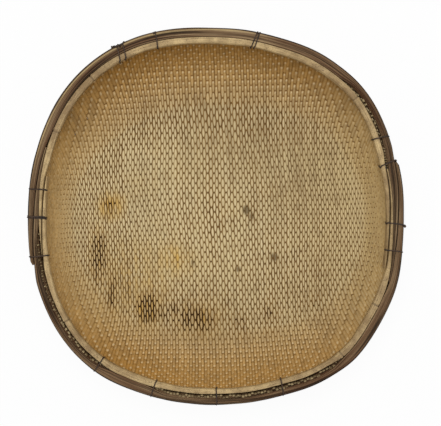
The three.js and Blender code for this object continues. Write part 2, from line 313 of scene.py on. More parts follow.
# Wire ties: the wire, how it is wound round the rim, with its first crossing of the top at the tie's
# angle, and its twisted ends
WIRE_DIAMETER = 2.1
WIRE_OFF = 1.05
WIRE_BEND = 3.4
WIRE_BEND_POINTS = 5
WIRE_BITE = 1.3
WIRE_SIDES = 10
WIRE_PARTS = 3
WIRE_UNEVEN = 0.12
WIRE_START = 0.375
HOOK_POWER = 6
TWIST_TURNS = 2
TWIST_START = 0.12
TWIST_POINTS = 14
TWIST_RADIUS = 0.52
TWIST_OUT = 0.5
# Ways that no wire runs, from which its strands and its rings are turned
TWIST_ASIDE = (0.2, 0.1, 1)
WIRE_ASIDE = (0.3, 0.5, 0.8)


@dataclass
class Tie:
    """A wire tie: its angle, how its turns lie over the rim, and where its twisted ends point.

    Turns stand gap apart on the outer hoop and splay wider on the inner one. On its way inward the
    wire moves along the rim by slant, bows out in the middle and hooks at its inner end. The ends
    start the given way along the rim, in from its outer edge and below its top, and point outward,
    along the rim and up.
    """

    angle: float
    turns: int = 1
    gap: float = 2.3
    splay: float = 0
    slant: float = 0
    bow: float = 0
    hook: float = 0
    way: tuple = (0.05, 0.6, -0.8)
    ends: float = 7
    along: float = 0
    inset: float = 0
    below: float = 14


TIES = {
    "wire_tie_right_above_lap": Tie(25.3, slant=2.0, bow=1.5, way=(0.05, 0.7, -0.6)),
    "wire_tie_right_lap_end": Tie(17.1, slant=-2.0, bow=1.5, hook=-4.0, way=(0.05, -0.7, -0.6)),
    "wire_tie_right_lap_middle": Tie(
        -3, slant=3.0, bow=5.0, way=(0.5, -0.6, -0.2), ends=3.5, below=3),
    "wire_tie_right_lap_lower": Tie(-11.3, slant=1.0, bow=0.5),
    "wire_tie_top_right": Tie(
        77.2, turns=2, gap=3.6, splay=0.5, slant=3.0,
        way=(0, 1, 0), ends=4, along=-2, inset=3, below=1.5),
    "wire_tie_top_left": Tie(
        108.8, slant=1.0, bow=-1.5, way=(0.05, 1, 0.1), ends=4, along=-1, inset=2.5, below=1.5),
    "wire_knot_upper_left": Tie(
        119.8, turns=2, gap=10, slant=6.0, way=(0.3, 1, 0), ends=17, along=-4, inset=5, below=-2.2),
    "wire_tie_left_lap_upper": Tie(171.5, slant=-1.0, bow=-0.5),
    "wire_tie_left_lap_middle": Tie(
        180.2, turns=2, gap=2.1, slant=-1.0, bow=1.5, hook=3.0, way=(0.05, -0.7, -0.6)),
    "wire_tie_left_lap_end": Tie(192.8, slant=1.0, bow=0.5),
    "wire_tie_bottom_far_left": Tie(231.6, slant=-1.5, bow=1.0, way=(0.05, -0.5, -0.8)),
    "wire_tie_bottom_left": Tie(250.1, slant=1.0, bow=-1.0),
    "wire_tie_bottom_middle": Tie(270, slant=-1.0, bow=0.8, way=(0.05, -0.6, -0.7)),
    "wire_tie_bottom_right": Tie(291, slant=2.0, bow=1.5),
}

# The photograph: 441 by 426 pixels, straight down, the basket's middle off the frame's, and how
# many millimetres a pixel covers
FRAME_WIDTH = 441
FRAME_MIDDLE = (220.5, 213.0)
BASKET_MIDDLE = (216.0, 216.5)
PIXEL_AT_RIM = 1.6006
PIXEL_ON_FLOOR = 1.715
CAMERA_ABOVE_RIM = 1500
SENSOR_WIDTH = 36

# Stains on the floor, in pixels of the photograph: middle, half width, half height, strength
BROWN_STAINS = (
    (98, 257, 12, 36, 1.0),
    (147, 309, 17, 20, 1.0),
    (194, 319, 32, 21, 0.6),
    (112, 294, 12, 30, 0.45),
    (178, 313, 62, 28, 0.35),
    (111, 207, 14, 16, 0.42),
    (175, 262, 18, 15, 0.18),
    (220, 226, 8, 13, 0.28),
    (235, 105, 16, 11, 0.25),
    (270, 314, 15, 32, 0.35),
    (314, 302, 11, 13, 0.35),
    (238, 326, 17, 20, 0.35),
)
# Grime in the slits between the strips
GRIME_AREAS = (
    (150, 118, 120, 62, 1.25),
    (122, 120, 48, 34, 1.7),
    (86, 150, 38, 40, 1.5),
    (92, 165, 70, 110, 1.2),
    (105, 268, 70, 100, 1.2),
    (180, 312, 140, 60, 1.2),
    (262, 112, 120, 60, 1.1),
    (215, 215, 130, 130, 0.7),
    (290, 270, 110, 120, 0.8),
)
SPOTS = (
    (246, 211, 5, 6, 2.2),
    (251, 217, 4, 5, 1.6),
    (273, 258, 6, 5, 1.9),
    (238, 270, 4, 4, 1.6),
    (193, 263, 3, 6, 1.5),
)
DULL_AREAS = (
    (216, 108, 170, 40, 0.9),
    (262, 133, 105, 68, 1.3),
    (292, 180, 65, 75, 1.0),
    (104, 112, 58, 38, 0.6),
    (84, 124, 36, 34, 0.7),
    (205, 322, 100, 50, 0.8),
    (320, 300, 90, 90, 0.6),
    (110, 300, 75, 75, 0.5),
    (305, 132, 55, 55, 0.5),
    (180, 88, 50, 42, 0.45),
    (142, 195, 30, 45, 0.35),
)
YELLOW_STAINS = (
    (111, 207, 18, 19, 1.0),
    (175, 261, 28, 24, 0.7),
    (130, 285, 60, 60, 0.5),
    (147, 309, 24, 26, 0.8),
    (200, 320, 36, 26, 0.6),
    (98, 257, 16, 44, 0.5),
)

# Colours, linear
STRIP_PALE = (0.535, 0.39, 0.162)
STRIP_DEEP = (0.37, 0.235, 0.085)
STRIP_WALL = (0.58, 0.295, 0.06)
STRIP_SIDE = (0.64, 0.375, 0.115)
STRIP_BLEACHED = (0.53, 0.437, 0.245)
# Worn crests with a painted highlight, dirt with painted shade, and the painted highlight of the
# floats' tips
STRIP_WEAR_AND_HIGHLIGHT = (0.77, 0.66, 0.41)
STRIP_DIRT_AND_SHADE = (0.10, 0.052, 0.016)
STRIP_TIP_HIGHLIGHT = (0.80, 0.67, 0.42)
STRIP_DULL = (0.20, 0.125, 0.055)
# Stains and spots; the brown and black stains also paint the standing ends dark as shade
BROWN_STAIN_AND_SHADE = (0.27, 0.135, 0.032)
SPOT_BROWN = (0.085, 0.055, 0.024)
BLACK_STAIN_AND_SHADE = (0.040, 0.017, 0.004)
STAIN_YELLOW = (0.60, 0.385, 0.11)
# The wefts' colours on the floor are dark partly as painted shade, where they lie sunk between the
# warps
WEFT_BROWN_AND_SHADE = (0.19, 0.115, 0.045)
WEFT_DEEP = (0.09, 0.05, 0.018)
WEFT_WALL = (0.34, 0.17, 0.043)
WEFT_SIDE = (0.48, 0.29, 0.10)
CUT_END = (0.40, 0.31, 0.165)
HOOP_PALE = (0.65, 0.478, 0.235)
HOOP_PALE_DEEP = (0.25, 0.16, 0.07)
HOOP_SPECK = (0.13, 0.085, 0.04)
HOOP_JOINT = (0.12, 0.075, 0.035)
HOOP_DARK = (0.225, 0.14, 0.073)
# Black of the dark hoop's lines, also used for painted shade in its grooves and along its outer edge
HOOP_BLACK = (0.014, 0.009, 0.005)
HOOP_BROWN = (0.43, 0.305, 0.165)
HOOP_RED = (0.115, 0.05, 0.023)
HOOP_SKIN = (0.50, 0.37, 0.18)
IRON = (0.022, 0.018, 0.016)
IRON_RUST = (0.075, 0.045, 0.028)
FLOOR_GREY = (0.85, 0.85, 0.85)
WHITE = (1.0, 1.0, 1.0)

# How far bleaching, and wear with a painted highlight, pale the two sets of strips, and how much
# stronger the painted highlight is on a float's tip
WARP_BLEACHED = 0.6
WARP_WEAR_AND_HIGHLIGHT = 0.54
WEFT_BLEACHED = 0.1
WEFT_WEAR_AND_HIGHLIGHT = 0.05
TIP_HIGHLIGHT = 2.2
# The finishes' layers. Streaks have a length and a width, patches a size. A range says from where to
# where a layer sets in, a strength how much it covers, or the least and the most
STRIP_FIBRE = {"Length": 45, "Width": 1.1}
STRIP_PATCH = 55
STRIP_SMUDGE = 20
STRIP_STREAKS = 0.4
STRIP_TONES = 0.45
STRIP_SPECKS = 0.35
WALL_SHADE = 0.5
DIRT_SPECKLED = (0.45, 0.8)
DIRT_PATCHY = (0.72, 1.22)
DULL_STRENGTH = 0.45
SMUDGE_RANGE = (0.5, 1.0)
SMUDGE_STRENGTH = (0.0, 0.2)
SPOT_STRENGTH = 0.75
BROWN_RANGE = (0.05, 0.5)
BROWN_STRENGTH = (0.0, 0.7)
BLACK_RANGE = (0.35, 0.8)
PALE_FIBRE = {"Length": 60, "Width": 2.2}
PALE_PATCH = 16
PALE_STREAKS = 0.45
PALE_PATCHES = 0.5
PALE_TONES = 0.2
PALE_SPECK_RANGE = (0.62, 0.85)
PALE_SPECK_STRENGTH = (0.0, 0.7)
JOINT_STRENGTH = 0.85
DARK_BAND = {"Length": 240, "Width": 5.5}
DARK_LINE = {"Length": 170, "Width": 2.9}
DARK_FIBRE = {"Length": 60, "Width": 1.0}
DARK_PATCH = 110
RED_PATCHES = 0.35
LIGHT_RANGE = (0.5, 0.85)
LIGHT_STRENGTH = (0.0, 0.9)
LIGHT_FIBRES = (0.4, 1.0)
LIGHT_TONE_RANGE = (0.2, 1.4)
LIGHT_TONE_STRENGTH = (1.1, 0.3)
DARK_LINE_RANGE = (0.42, 0.18)
DARK_LINE_STRENGTH = (0.0, 0.85)
SKIN_RANGE = (0.2, 0.6)
SKIN_STRENGTH = (0.3, 1.0)
RUST_PATCH = 6
# Noise of the fibres and patches: how much finer the second pattern is, and what of it is used
FIBRE_LINES = 4.0
FIBRE_RANGE = (0.3, 0.7)
PATCH_SPECKS = 9.0
PATCH_RANGE = (0.32, 0.68)
SPECK_RANGE = (0.35, 0.7)
UNIT_RANGE = (0.0, 1.0)
# Strips, slats and wires each lie somewhere else in the fibre pattern
GRAIN_RANGE = 400

# The bake's picture, as shares of a band's length and of its height
BAND_MARGIN = 0.01
BAND_FOOT = 0.04
BAND_SPAN = 0.88
CAP_LEVEL = 0.96
CAP_PLACES = (0.03, 0.06)
CAP_SIZE = (0.004, 0.012)

# Studio: the floor shows white from just outside the rim
FLOOR_HALF = 4000
FLOOR_DROP = 0.5
FLOOR_WHITE_FROM = (305, 325)
FLOOR_WHITE = 0.94
SKY_STRENGTH = 0.5
LAMP_PLACE = (-120, 500, 2600)
LAMP_SIZE = 1200
LAMP_POWER = 40

# Seeds of the random draws
WAVE_SEED = 5
WAVE_START_SEED = 6
WEAVE_SEED = 11
HOOP_SEED = 23
WIRE_SEED = 31

MAT_BOX = np.array(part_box("woven_mat")) / MM
MAT_MIDDLE = np.append(MAT_BOX.mean(axis=0)[:2], 0)


# Curves that several pieces share


def unit(vectors):
    return vectors / np.linalg.norm(vectors, axis=-1, keepdims=True)


def bell(away, spread):
    """1 in the middle, falling off smoothly to both sides."""
    return np.exp(-((away / spread) ** 2))


def smooth_step(low, high, value):
    share = np.clip((value - low) / (high - low), 0, 1)
    return share * share * (3 - 2 * share)


def smooth_noise(rng, places, spacing, columns=1):
    """A slow wander between -1 and 1 along the places, one column for each line of fibres."""
    share = (places - places.min()) / spacing
    first = np.floor(share).astype(int)
    values = rng.uniform(-1, 1, (first.max() + 2, columns))
    blend = smooth_step(0, 1, share - first)[:, None]
    return values[first] * (1 - blend) + values[first + 1] * blend


def turn_from(angle, middle):
    """The angle from a middle, between -180 and 180."""
    return (angle - middle + 180) % 360 - 180


def zone_share(angle, start, end):
    """1 inside a stretch of the rim, fading to 0 outside it."""
    half = (end - start) / 2
    away = np.abs(turn_from(angle, start + half))
    return 1 - smooth_step(half - OPEN_FADE, half + OPEN_FADE, away)


# Plan outline and bowl


def outline_radius(angle):
    """Distance from the middle to the mat's standing edge, for angles in degrees."""
    turn = np.radians(angle)
    wide = (np.abs(np.cos(turn)) / EDGE_HALF_WIDTH) ** SQUARENESS
    long = (np.abs(np.sin(turn)) / EDGE_HALF_LENGTH) ** SQUARENESS
    radius = (wide + long) ** (-1 / SQUARENESS)
    for middle, spread, out in RIM_BENDS:
        radius = radius + out * bell(turn_from(angle, middle), spread)
    return radius


def outline_point(angle):
    turn = np.radians(angle)
    return outline_radius(angle)[..., None] * np.stack([np.cos(turn), np.sin(turn)], axis=-1)


def outline_normal(angle):
    run = outline_point(angle + ANGLE_PROBE) - outline_point(angle - ANGLE_PROBE)
    return unit(np.stack([run[..., 1], -run[..., 0]], axis=-1))


WALL = math.radians(WALL_ANGLE)
EDGE_MEAN = (EDGE_HALF_WIDTH + EDGE_HALF_LENGTH) / 2
FLOOR_LEVEL = MAT_THICKNESS / 2
RIM_HEIGHT = max(OUTER_SLAT.height, INNER_SLAT.height)
BEND_TOP = DEPTH - RIM_HEIGHT - TIE_ROOM
BEND_FOOT = BEND_TOP - EDGE_BEND * math.cos(WALL)
WALL_FOOT = FLOOR_LEVEL + FLOOR_BEND * (1 - math.cos(WALL))
WALL_TOP_INSET = EDGE_BEND * (1 - math.sin(WALL))
WALL_FOOT_INSET = WALL_TOP_INSET + (BEND_FOOT - WALL_FOOT) / math.tan(WALL)
FLOOR_INSET = WALL_FOOT_INSET + FLOOR_BEND * math.sin(WALL)


def edge_share(plan):
    """0 in the middle of the floor, 1 on the standing edge."""
    angle = np.degrees(np.arctan2(plan[..., 1], plan[..., 0]))
    return np.hypot(plan[..., 0], plan[..., 1]) / outline_radius(angle)


def edge_inset(points):
    """How far in from the standing edge points lie, seen from above."""
    return (1 - edge_share(points)) * EDGE_MEAN


def bowl_slope(inset):
    """Steepness of the bowl that far in from its edge."""
    edge = np.arcsin(np.clip(1 - inset / EDGE_BEND, 0, 1))
    foot = np.arcsin(np.clip((FLOOR_INSET - inset) / FLOOR_BEND, 0, 1))
    return np.where(inset < WALL_TOP_INSET, edge, np.where(inset < WALL_FOOT_INSET, WALL, foot))


def bowl_height(inset):
    """Height of the middle of the mat that far in from its edge."""
    slope = bowl_slope(inset)
    edge = BEND_TOP - EDGE_BEND * np.cos(slope)
    wall = BEND_FOOT - (inset - WALL_TOP_INSET) * math.tan(WALL)
    foot = FLOOR_LEVEL + FLOOR_BEND * (1 - np.cos(slope))
    return np.where(inset < WALL_TOP_INSET, edge, np.where(inset < WALL_FOOT_INSET, wall, foot))


def bowl_surface(plan):
    """Points of the bowl over plan places, and its directions square to the mat, inside upward."""
    steps = np.eye(2) * PLAN_PROBE
    lean = [edge_share(plan + step) - edge_share(plan - step) for step in steps]
    inset = np.maximum(0, edge_inset(plan))
    slope = np.minimum(bowl_slope(inset), math.radians(STEEPEST))
    rise = np.stack(lean, axis=-1) / (2 * PLAN_PROBE) * EDGE_MEAN * np.tan(slope)[..., None]
    points = np.concatenate([plan, bowl_height(inset)[..., None]], axis=-1)
    normals = unit(np.concatenate([-rise, np.ones(plan.shape[:-1] + (1,))], axis=-1))
    return points, normals


# Meshes


class Sweep:
    """A closed length of strip, hoop or wire: rings of points, and what its material reads."""

    def __init__(self, rings, around, rng, **marks):
        self.rings = rings
        middle = rings.mean(axis=1)
        steps = np.linalg.norm(np.diff(middle, axis=0), axis=1)
        self.along = np.concatenate([[0], np.cumsum(steps)])
        self.around = np.broadcast_to(around, rings.shape[:2])
        self.number = rng.uniform(0, GRAIN_RANGE)
        self.marks = {}
        for name, values in marks.items():
            self.mark(name, values)

    def mark(self, name, values):
        self.marks[name] = np.broadcast_to(values, self.rings.shape[:2])

    def grain(self):
        along = np.broadcast_to(self.along[:, None], self.around.shape)
        return np.stack([along, self.around, np.full(self.around.shape, self.number)], axis=-1)


def quad_corners(rows, ring):
    row = np.arange(rows - 1)[:, None] * ring
    column = np.arange(ring)[None, :]
    after = (column + 1) % ring
    corners = np.stack([row + column, row + after, row + ring + after, row + ring + column], axis=-1)
    return corners.reshape(-1, 4)


def cap_corners(rows, ring):
    return np.stack([np.arange(ring)[::-1], (rows - 1) * ring + np.arange(ring)])


def quad_uv(rows, ring, bands, first, total):
    """A sweep laid out flat in bands, one under the other, without overlaps."""
    per_band = math.ceil((rows - 1) / bands)
    length = 1 - 2 * BAND_MARGIN
    row = np.arange(rows - 1)[:, None]
    column = np.arange(ring)[None, :]
    base = first + row // per_band + BAND_FOOT
    left = np.broadcast_to(BAND_MARGIN + length * (row % per_band) / per_band, (rows - 1, ring))
    right = left + length / per_band
    under = (base + BAND_SPAN * column / ring) / total
    over = (base + BAND_SPAN * (column + 1) / ring) / total
    corners = [(left, under), (left, over), (right, over), (right, under)]
    return np.stack([np.stack(corner, axis=-1) for corner in corners], axis=2).reshape(-1, 4, 2)


def cap_uv(ring, first, total):
    """A sweep's two ends as small discs above its first band."""
    turn = np.arange(ring) * 2 * math.pi / ring
    disc = np.stack([CAP_SIZE[0] * np.cos(turn), CAP_SIZE[1] * np.sin(turn) / total], axis=-1)
    level = (first + CAP_LEVEL) / total
    return np.stack([disc + (place, level) for place in CAP_PLACES])


def bake_layout(sweeps, rows, ring):
    """Where each corner of the sweeps' faces lies on the bake's picture, sides first, then ends."""
    girth = np.ptp(sweeps[0].around) * 2 + 1
    bands = max(1, round(math.sqrt(sweeps[0].along[-1] / (girth * len(sweeps)))))
    total = bands * len(sweeps)
    sides = [quad_uv(n, ring, bands, i * bands, total) for i, n in enumerate(rows)]
    ends = [cap_uv(ring, i * bands, total) for i in range(len(sweeps))]
    return np.concatenate([np.concatenate(part).reshape(-1, 2) for part in (sides, ends)])


def add_attribute(mesh, name, kind, values):
    layer = mesh.attributes.new(name, kind, "POINT")
    key = "value" if kind == "FLOAT" else "vector"
    layer.data.foreach_set(key, np.ascontiguousarray(values, dtype=np.float32).ravel())


def sweep_mesh(name, sweeps):
    ring = sweeps[0].rings.shape[1]
    rows = [len(sweep.rings) for sweep in sweeps]
    starts = np.concatenate([[0], np.cumsum(rows)[:-1]]) * ring
    points = np.concatenate([sweep.rings.reshape(-1, 3) for sweep in sweeps])
    quads = np.concatenate([quad_corners(n, ring) + s for n, s in zip(rows, starts)])
    caps = np.concatenate([cap_corners(n, ring) + s for n, s in zip(rows, starts)])
    mesh = bpy.data.meshes.new(name)
    mesh.vertices.add(len(points))
    mesh.vertices.foreach_set("co", ((points + MAT_MIDDLE) * MM).ravel())
    corners = np.concatenate([quads.ravel(), caps.ravel()])
    mesh.loops.add(len(corners))
    mesh.loops.foreach_set("vertex_index", corners)
    begin = np.concatenate([np.arange(len(quads)) * 4, quads.size + np.arange(len(caps)) * ring])
    mesh.polygons.add(len(begin))
    mesh.polygons.foreach_set("loop_start", begin)
    mesh.polygons.foreach_set("use_smooth", np.arange(len(begin)) < len(quads))
    layout = bake_layout(sweeps, rows, ring)
    mesh.uv_layers.new(name="OFBake").data.foreach_set("uv", layout.astype(np.float32).ravel())
    mesh.update(calc_edges=True)
    grain = np.concatenate([sweep.grain().reshape(-1, 3) for sweep in sweeps])
    add_attribute(mesh, "grain", "FLOAT_VECTOR", grain)
    for mark in sweeps[0].marks:
        values = np.concatenate([sweep.marks[mark].ravel() for sweep in sweeps])
        add_attribute(mesh, mark, "FLOAT", values)
    mesh.validate()
    return mesh


def add_piece(name, sweeps, finish, slot, *nodes):
    mesh = sweep_mesh(name, sweeps)
    mesh.materials.append(finish)
    piece = bpy.data.objects.new(name, mesh)
    bpy.context.scene.collection.objects.link(piece)
    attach(piece, "root")
    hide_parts(*nodes)


# Woven mat

TURN = math.radians(WEAVE_TURN)
WEFT_RUN = np.array([math.cos(TURN), math.sin(TURN)])
WARP_RUN = np.array([-math.sin(TURN), math.cos(TURN)])
REACH = np.arange(-REACH_LIMIT, REACH_LIMIT + REACH_STEP, REACH_STEP)
WAVES = np.random.default_rng(WAVE_SEED).normal(0, 1 / WANDER_LENGTH, (WANDER_WAVES, 2))
WAVE_STARTS = np.random.default_rng(WAVE_START_SEED).uniform(0, 2 * math.pi, (WANDER_WAVES, 2))


def weave_plan(across, up):
    """Plan places of the weave, which fans out up the corners, wanders a little and lies askew."""
    x, y = np.broadcast_arrays(across / EDGE_MEAN, up / EDGE_MEAN)
    share = (np.abs(x) ** SQUARENESS + np.abs(y) ** SQUARENESS) ** (1 / SQUARENESS)
    climb = np.clip((share - FAN_FOOT) / (1 - FAN_FOOT), 0, FAN_LIMIT) ** 2
    turn = np.arctan2(np.abs(y), np.abs(x))
    fan = FAN * climb * np.cos(turn) ** 3 * np.sin(turn) ** 2
    bowed_x = x * (1 + fan - BOW * np.abs(x) ** BOW_POWER * y**2) * EDGE_MEAN
    bowed_y = y * (1 - BOW * np.abs(y) ** BOW_POWER * x**2) * EDGE_MEAN
    plan = bowed_x[..., None] * WEFT_RUN + bowed_y[..., None] * WARP_RUN
    waves = np.sin((plan @ WAVES.T)[..., None] + WAVE_STARTS)
    return plan + WANDER * waves.mean(axis=-2)


def warp_pitch(share):
    """Warps are broadest in the middle and narrower towards the left and right walls."""
    away = np.abs(share)
    on_wall = smooth_step(*WARP_WALL_SHARES, away)
    return WARP_PITCH * (1 - WARP_NARROWING * away - WARP_WALL_NARROWING * on_wall)


def weft_pitch(share):
    """Wefts lie further apart towards the top of the photo."""
    return WEFT_PITCH * (1 + WEFT_WIDENING * smooth_step(0, 1, share))


def strip_places(pitch, jitter, half, rng):
    """Plan places of one set of strips, spaced by their own widths along the bowl's curve."""
    share = 1 - np.linspace(1, 0, ARC_SAMPLES) ** 2
    plan = share * half
    rise = np.diff(bowl_height((1 - share) * EDGE_MEAN))
    arc = np.concatenate([[0], np.cumsum(np.hypot(np.diff(plan), rise))])
    arc = np.concatenate([-arc[:0:-1], arc])
    plan = np.concatenate([-plan[:0:-1], plan])
    mean_pitch = pitch((arc[1:] + arc[:-1]) / 2 / arc[-1])
    number = np.concatenate([[0], np.cumsum(np.diff(arc) / mean_pitch)])
    count = int(number[-1])
    at = np.arange(count) + 0.5 + jitter * rng.uniform(-1, 1, count)
    return np.interp(at * number[-1] / count, number, plan)


def stain_amount(points, stains, rng):
    """How stained each point is. Each strip takes a stain differently, and unevenly along itself."""
    amount = np.zeros(points.shape[:-1])
    uneven = 1 + STAIN_UNEVEN * smooth_noise(rng, np.arange(len(points)), STAIN_RUN)
    for x, y, wide, high, strength in stains:
        across = (points[..., 0] / PIXEL_ON_FLOOR - (x - BASKET_MIDDLE[0])) / wide
        up = (points[..., 1] / PIXEL_ON_FLOOR - (BASKET_MIDDLE[1] - y)) / high
        fade = np.clip(1 - np.hypot(across, up), 0, 1)
        amount = np.maximum(amount, fade * strength * uneven * rng.uniform(*STAIN_TAKE))
    return np.clip(amount, 0, 1)


def bleach_share(points):
    """1 in the middle of the floor, where the strips have faded, 0 towards the wall."""
    away = points[..., :2] - BLEACH_MIDDLE
    return 1 - smooth_step(*BLEACH_REACH, np.hypot(away[..., 0], away[..., 1]))


def side_share(points):
    """1 on the left and right walls, 0 on the top and bottom ones."""
    across, up = points[..., 0] ** 2, points[..., 1] ** 2
    return across / (across + up + 1)


def calm_share(points):
    """1 along the rim, where the weave lies smooth, 0 further in."""
    turn = np.arctan2(points[..., 1], points[..., 0])
    left = np.clip(-np.cos(turn), 0, 1) ** CALM_LEFT_POWER
    upright = np.sin(turn) ** CALM_UPRIGHT_POWER
    reach = CALM_NARROW + (CALM_LEFT - CALM_NARROW) * left + (CALM_UPRIGHT - CALM_NARROW) * upright
    return 1 - smooth_step(CALM_FULL, 1, edge_inset(points) / reach)


def wall_tint(points):
    """How brown the wall is, most at the top of the photo, and how much of its weave is wall weave."""
    turn = np.arctan2(points[..., 1], points[..., 0])
    strength = CORNER_TINT * np.sin(2 * turn) ** 2
    reach = 0
    for facing, power, brown, inward in WALL_TINTS:
        weight = np.clip(np.cos(turn - math.radians(facing)), 0, 1) ** power
        strength = strength + weight * brown
        reach = reach + weight * inward
    share = np.clip((reach - edge_inset(points)) / (reach - WALL_FULL), 0, 1)
    return np.clip(strength, 0, 1) * share**WALL_FADE, smooth_step(0, WALL_WEAVE_FADE, share)


def riser(foot, rng):
    """The strip's end, standing up between the hoops to a ragged cut."""
    angle = np.degrees(np.arctan2(foot[1], foot[0]))
    shown = sum(zone_share(angle, start, end) * up for start, end, _, _, up in OPEN_ZONES)
    top = DEPTH - EDGE_DROP - CLOSED_DROP * (1 - shown) - END_JITTER * rng.uniform(0, 1)
    heights = np.linspace(BEND_TOP, top, int((top - BEND_TOP) / RISER_STEP))
    outward = outline_normal(angle)
    lean = shown * rng.uniform(*END_LEAN) * np.linspace(0, 1, len(heights)) ** 2
    flat = outline_point(angle) + lean[:, None] * outward
    return np.column_stack([flat, heights]), np.tile(np.append(-outward, 0), (len(heights), 1))


class StripSet:
    """All strips that run one way: where they lie, how wide they are, how they go over and under."""

    def __init__(self, upright, places, crossings, cover, swing, sunk):
        self.upright = upright
        self.places = places
        gaps = np.diff(places)
        self.widths = np.maximum(np.append(gaps, gaps[-1]), np.insert(gaps, 0, gaps[0]))
        spare = np.arange(1, SPARE_CROSSINGS + 1) * WEFT_PITCH
        self.crossings = np.concatenate([crossings[0] - spare[::-1], crossings, crossings[-1] + spare])
        self.order = np.arange(len(self.crossings)) - len(spare)
        self.cover = cover
        self.swing = swing
        self.sunk = sunk

    def plan(self, place, reach):
        return weave_plan(place, reach) if self.upright else weave_plan(reach, place)

    def strip(self, index, rng):
        """One strip from cut end to cut end, or none where hardly any of it lies inside the rim."""
        place = self.places[index]
        inside = REACH[edge_share(self.plan(place, REACH)) < RIM_SHARE]
        if len(inside) * REACH_STEP < SHORTEST_STRIP:
            return None
        reach, count = self.stations(index, inside[0], inside[-1])
        points, normals = bowl_surface(self.plan(place, reach))
        low, low_normals = riser(points[0], rng)
        high, high_normals = riser(points[-1], rng)
        ends = (len(low), len(high))
        path = np.concatenate([low[::-1], points, high])
        tangents = unit(np.gradient(path, axis=0))
        normals = np.concatenate([low_normals, normals, high_normals])
        normals = unit(normals - tangents * (normals * tangents).sum(axis=1, keepdims=True))
        sides = np.cross(tangents, normals)
        half = self.half_width(index, reach, sides[ends[0]:-ends[1]], rng)
        half = np.pad(half, ends, mode="edge")
        half = half * (1 + WALL_OVERLAP * smooth_step(*OVERLAP_HEIGHTS, path[:, 2]))
        wall = wall_tint(points)[1]
        count = count + STRAY * rng.uniform(-1, 1) * smooth_step(*STRAY_HEIGHTS, points[:, 2])
        half = half * np.pad(self.lens(count, wall), ends, constant_values=1)
        phase = np.pad(self.phase(count, wall), ends)
        tone = np.pad(self.float_tones(count, rng), ends, mode="edge")
        tip = np.pad(self.tip(count, reach), ends)
        cut_ends = [np.linspace(1, 0, ends[0]), np.zeros(len(points)), np.linspace(0, 1, ends[1])]
        return self.solid(path, sides, normals, half, phase, tip, np.concatenate(cut_ends), tone, rng)

    def stations(self, index, start, finish):
        """Where a strip's shape is worked out, closest at warps' dips: as lengths and as crossings."""
        first, last = np.interp([start, finish], self.crossings, self.order)
        if self.upright:
            dips = index + 1 + 2 * np.arange((first - index) // 2 - 1, (last - index) // 2 + 1)
            count = (dips[:, None] + DIP_STATIONS).ravel()
        else:
            count = np.arange(math.floor(first * WEFT_STEPS), math.ceil(last * WEFT_STEPS)) / WEFT_STEPS
        count = count[(count > first + END_CLEAR) & (count < last - END_CLEAR)]
        reach = np.concatenate([[start], np.interp(count, self.order, self.crossings), [finish]])
        return reach, np.concatenate([[first], count, [last]]) - index

    def half_width(self, index, reach, sides, rng):
        """Half of a strip's width along it, which follows how the weave fans out."""
        place = self.places[index]
        before, after = (bowl_surface(self.plan(place + step, reach))[0] for step in (-1, 1))
        spread = np.abs(((after - before) * sides).sum(axis=1)) / 2
        half = np.clip(spread, *SPREAD_LIMITS) * self.widths[index] * self.cover / 2
        half *= 1 + WIDTH_UNEVEN * smooth_noise(rng, reach, WIDTH_RUN)[:, 0]
        return np.clip(half, *HALF_WIDTH_LIMITS)

    def float_tones(self, count, rng):
        """Shade of a strip, a little different on every float."""
        number = np.floor((count + 1) / 2).astype(int)
        number = number - number.min()
        floats = rng.uniform(0, 1, number.max() + 1)[number]
        return FLOAT_TONE * floats + (1 - FLOAT_TONE) * rng.uniform(0, 1)

    def lens(self, count, wall):
        """Warps are broadest in the middle of each float and narrow where they dip."""
        swell = LENS + (WALL_LENS - LENS) * wall
        return 1 - swell * np.cos(math.pi * (count % 2 - 1)) * self.upright

    def tip(self, count, reach):
        """1 at the end of each float that lies nearer the rim, where the warp turns to face up: a
        painted highlight.
        """
        toward_rim = -(count % 2 - 1) * np.sign(reach)
        return bell(toward_rim - TIP_PLACE, TIP_LENGTH) * self.upright

    def phase(self, count, wall):
        """1 where the strip lies on top of the weave, -1 where it lies under."""
        if not self.upright:
            return -np.cos(math.pi * count)
        return 1 - 2 * bell(count % 2 - 1, DIP_LENGTH + (WALL_DIP_LENGTH - DIP_LENGTH) * wall)

    def lift(self, phase, calm):
        """Height over the mat's middle: near the rim warps dip less and wefts sink between them."""
        if self.upright:
            return MAT_LIFT + self.swing * phase * (1 - WARP_CALM * calm)
        return MAT_LIFT + self.swing * phase - WEFT_CALM * calm

    def solid(self, path, sides, normals, half, phase, tip, cut, tone, rng):
        """The strip's rings, narrow and thick at its cut ends, and the marks that its finish reads."""
        half = half * (1 + (END_WIDTH - 1) * cut)
        thick = STRIP_THICKNESS * (1 + (END_THICKNESS - 1) * cut)
        calm = calm_share(path)
        across = half[:, None] * STRIP_SECTION[:, 0]
        above = self.lift(phase, calm)[:, None] + STRIP_SECTION[:, 1] * thick[:, None] / 2
        rings = path[:, None] + sides[:, None] * across[..., None] + normals[:, None] * above[..., None]
        phase, tip, cut, calm = (mark[:, None] for mark in (phase, tip, cut, calm))
        marks = self.soiling(rings, phase, tip, cut, calm, rng)
        strip = Sweep(rings, across, rng, tone=tone[:, None], **marks)
        strip.mark("cut", smooth_step(*CUT_SHARES, cut) * rng.uniform(*CUT_PALENESS))
        strip.mark("bleach", bleach_share(rings) * rng.uniform(*BLEACH_TAKE))
        for name, stains in (("dull", DULL_AREAS), ("spot", SPOTS), ("yellow", YELLOW_STAINS)):
            strip.mark(name, stain_amount(rings, stains, rng))
        return strip

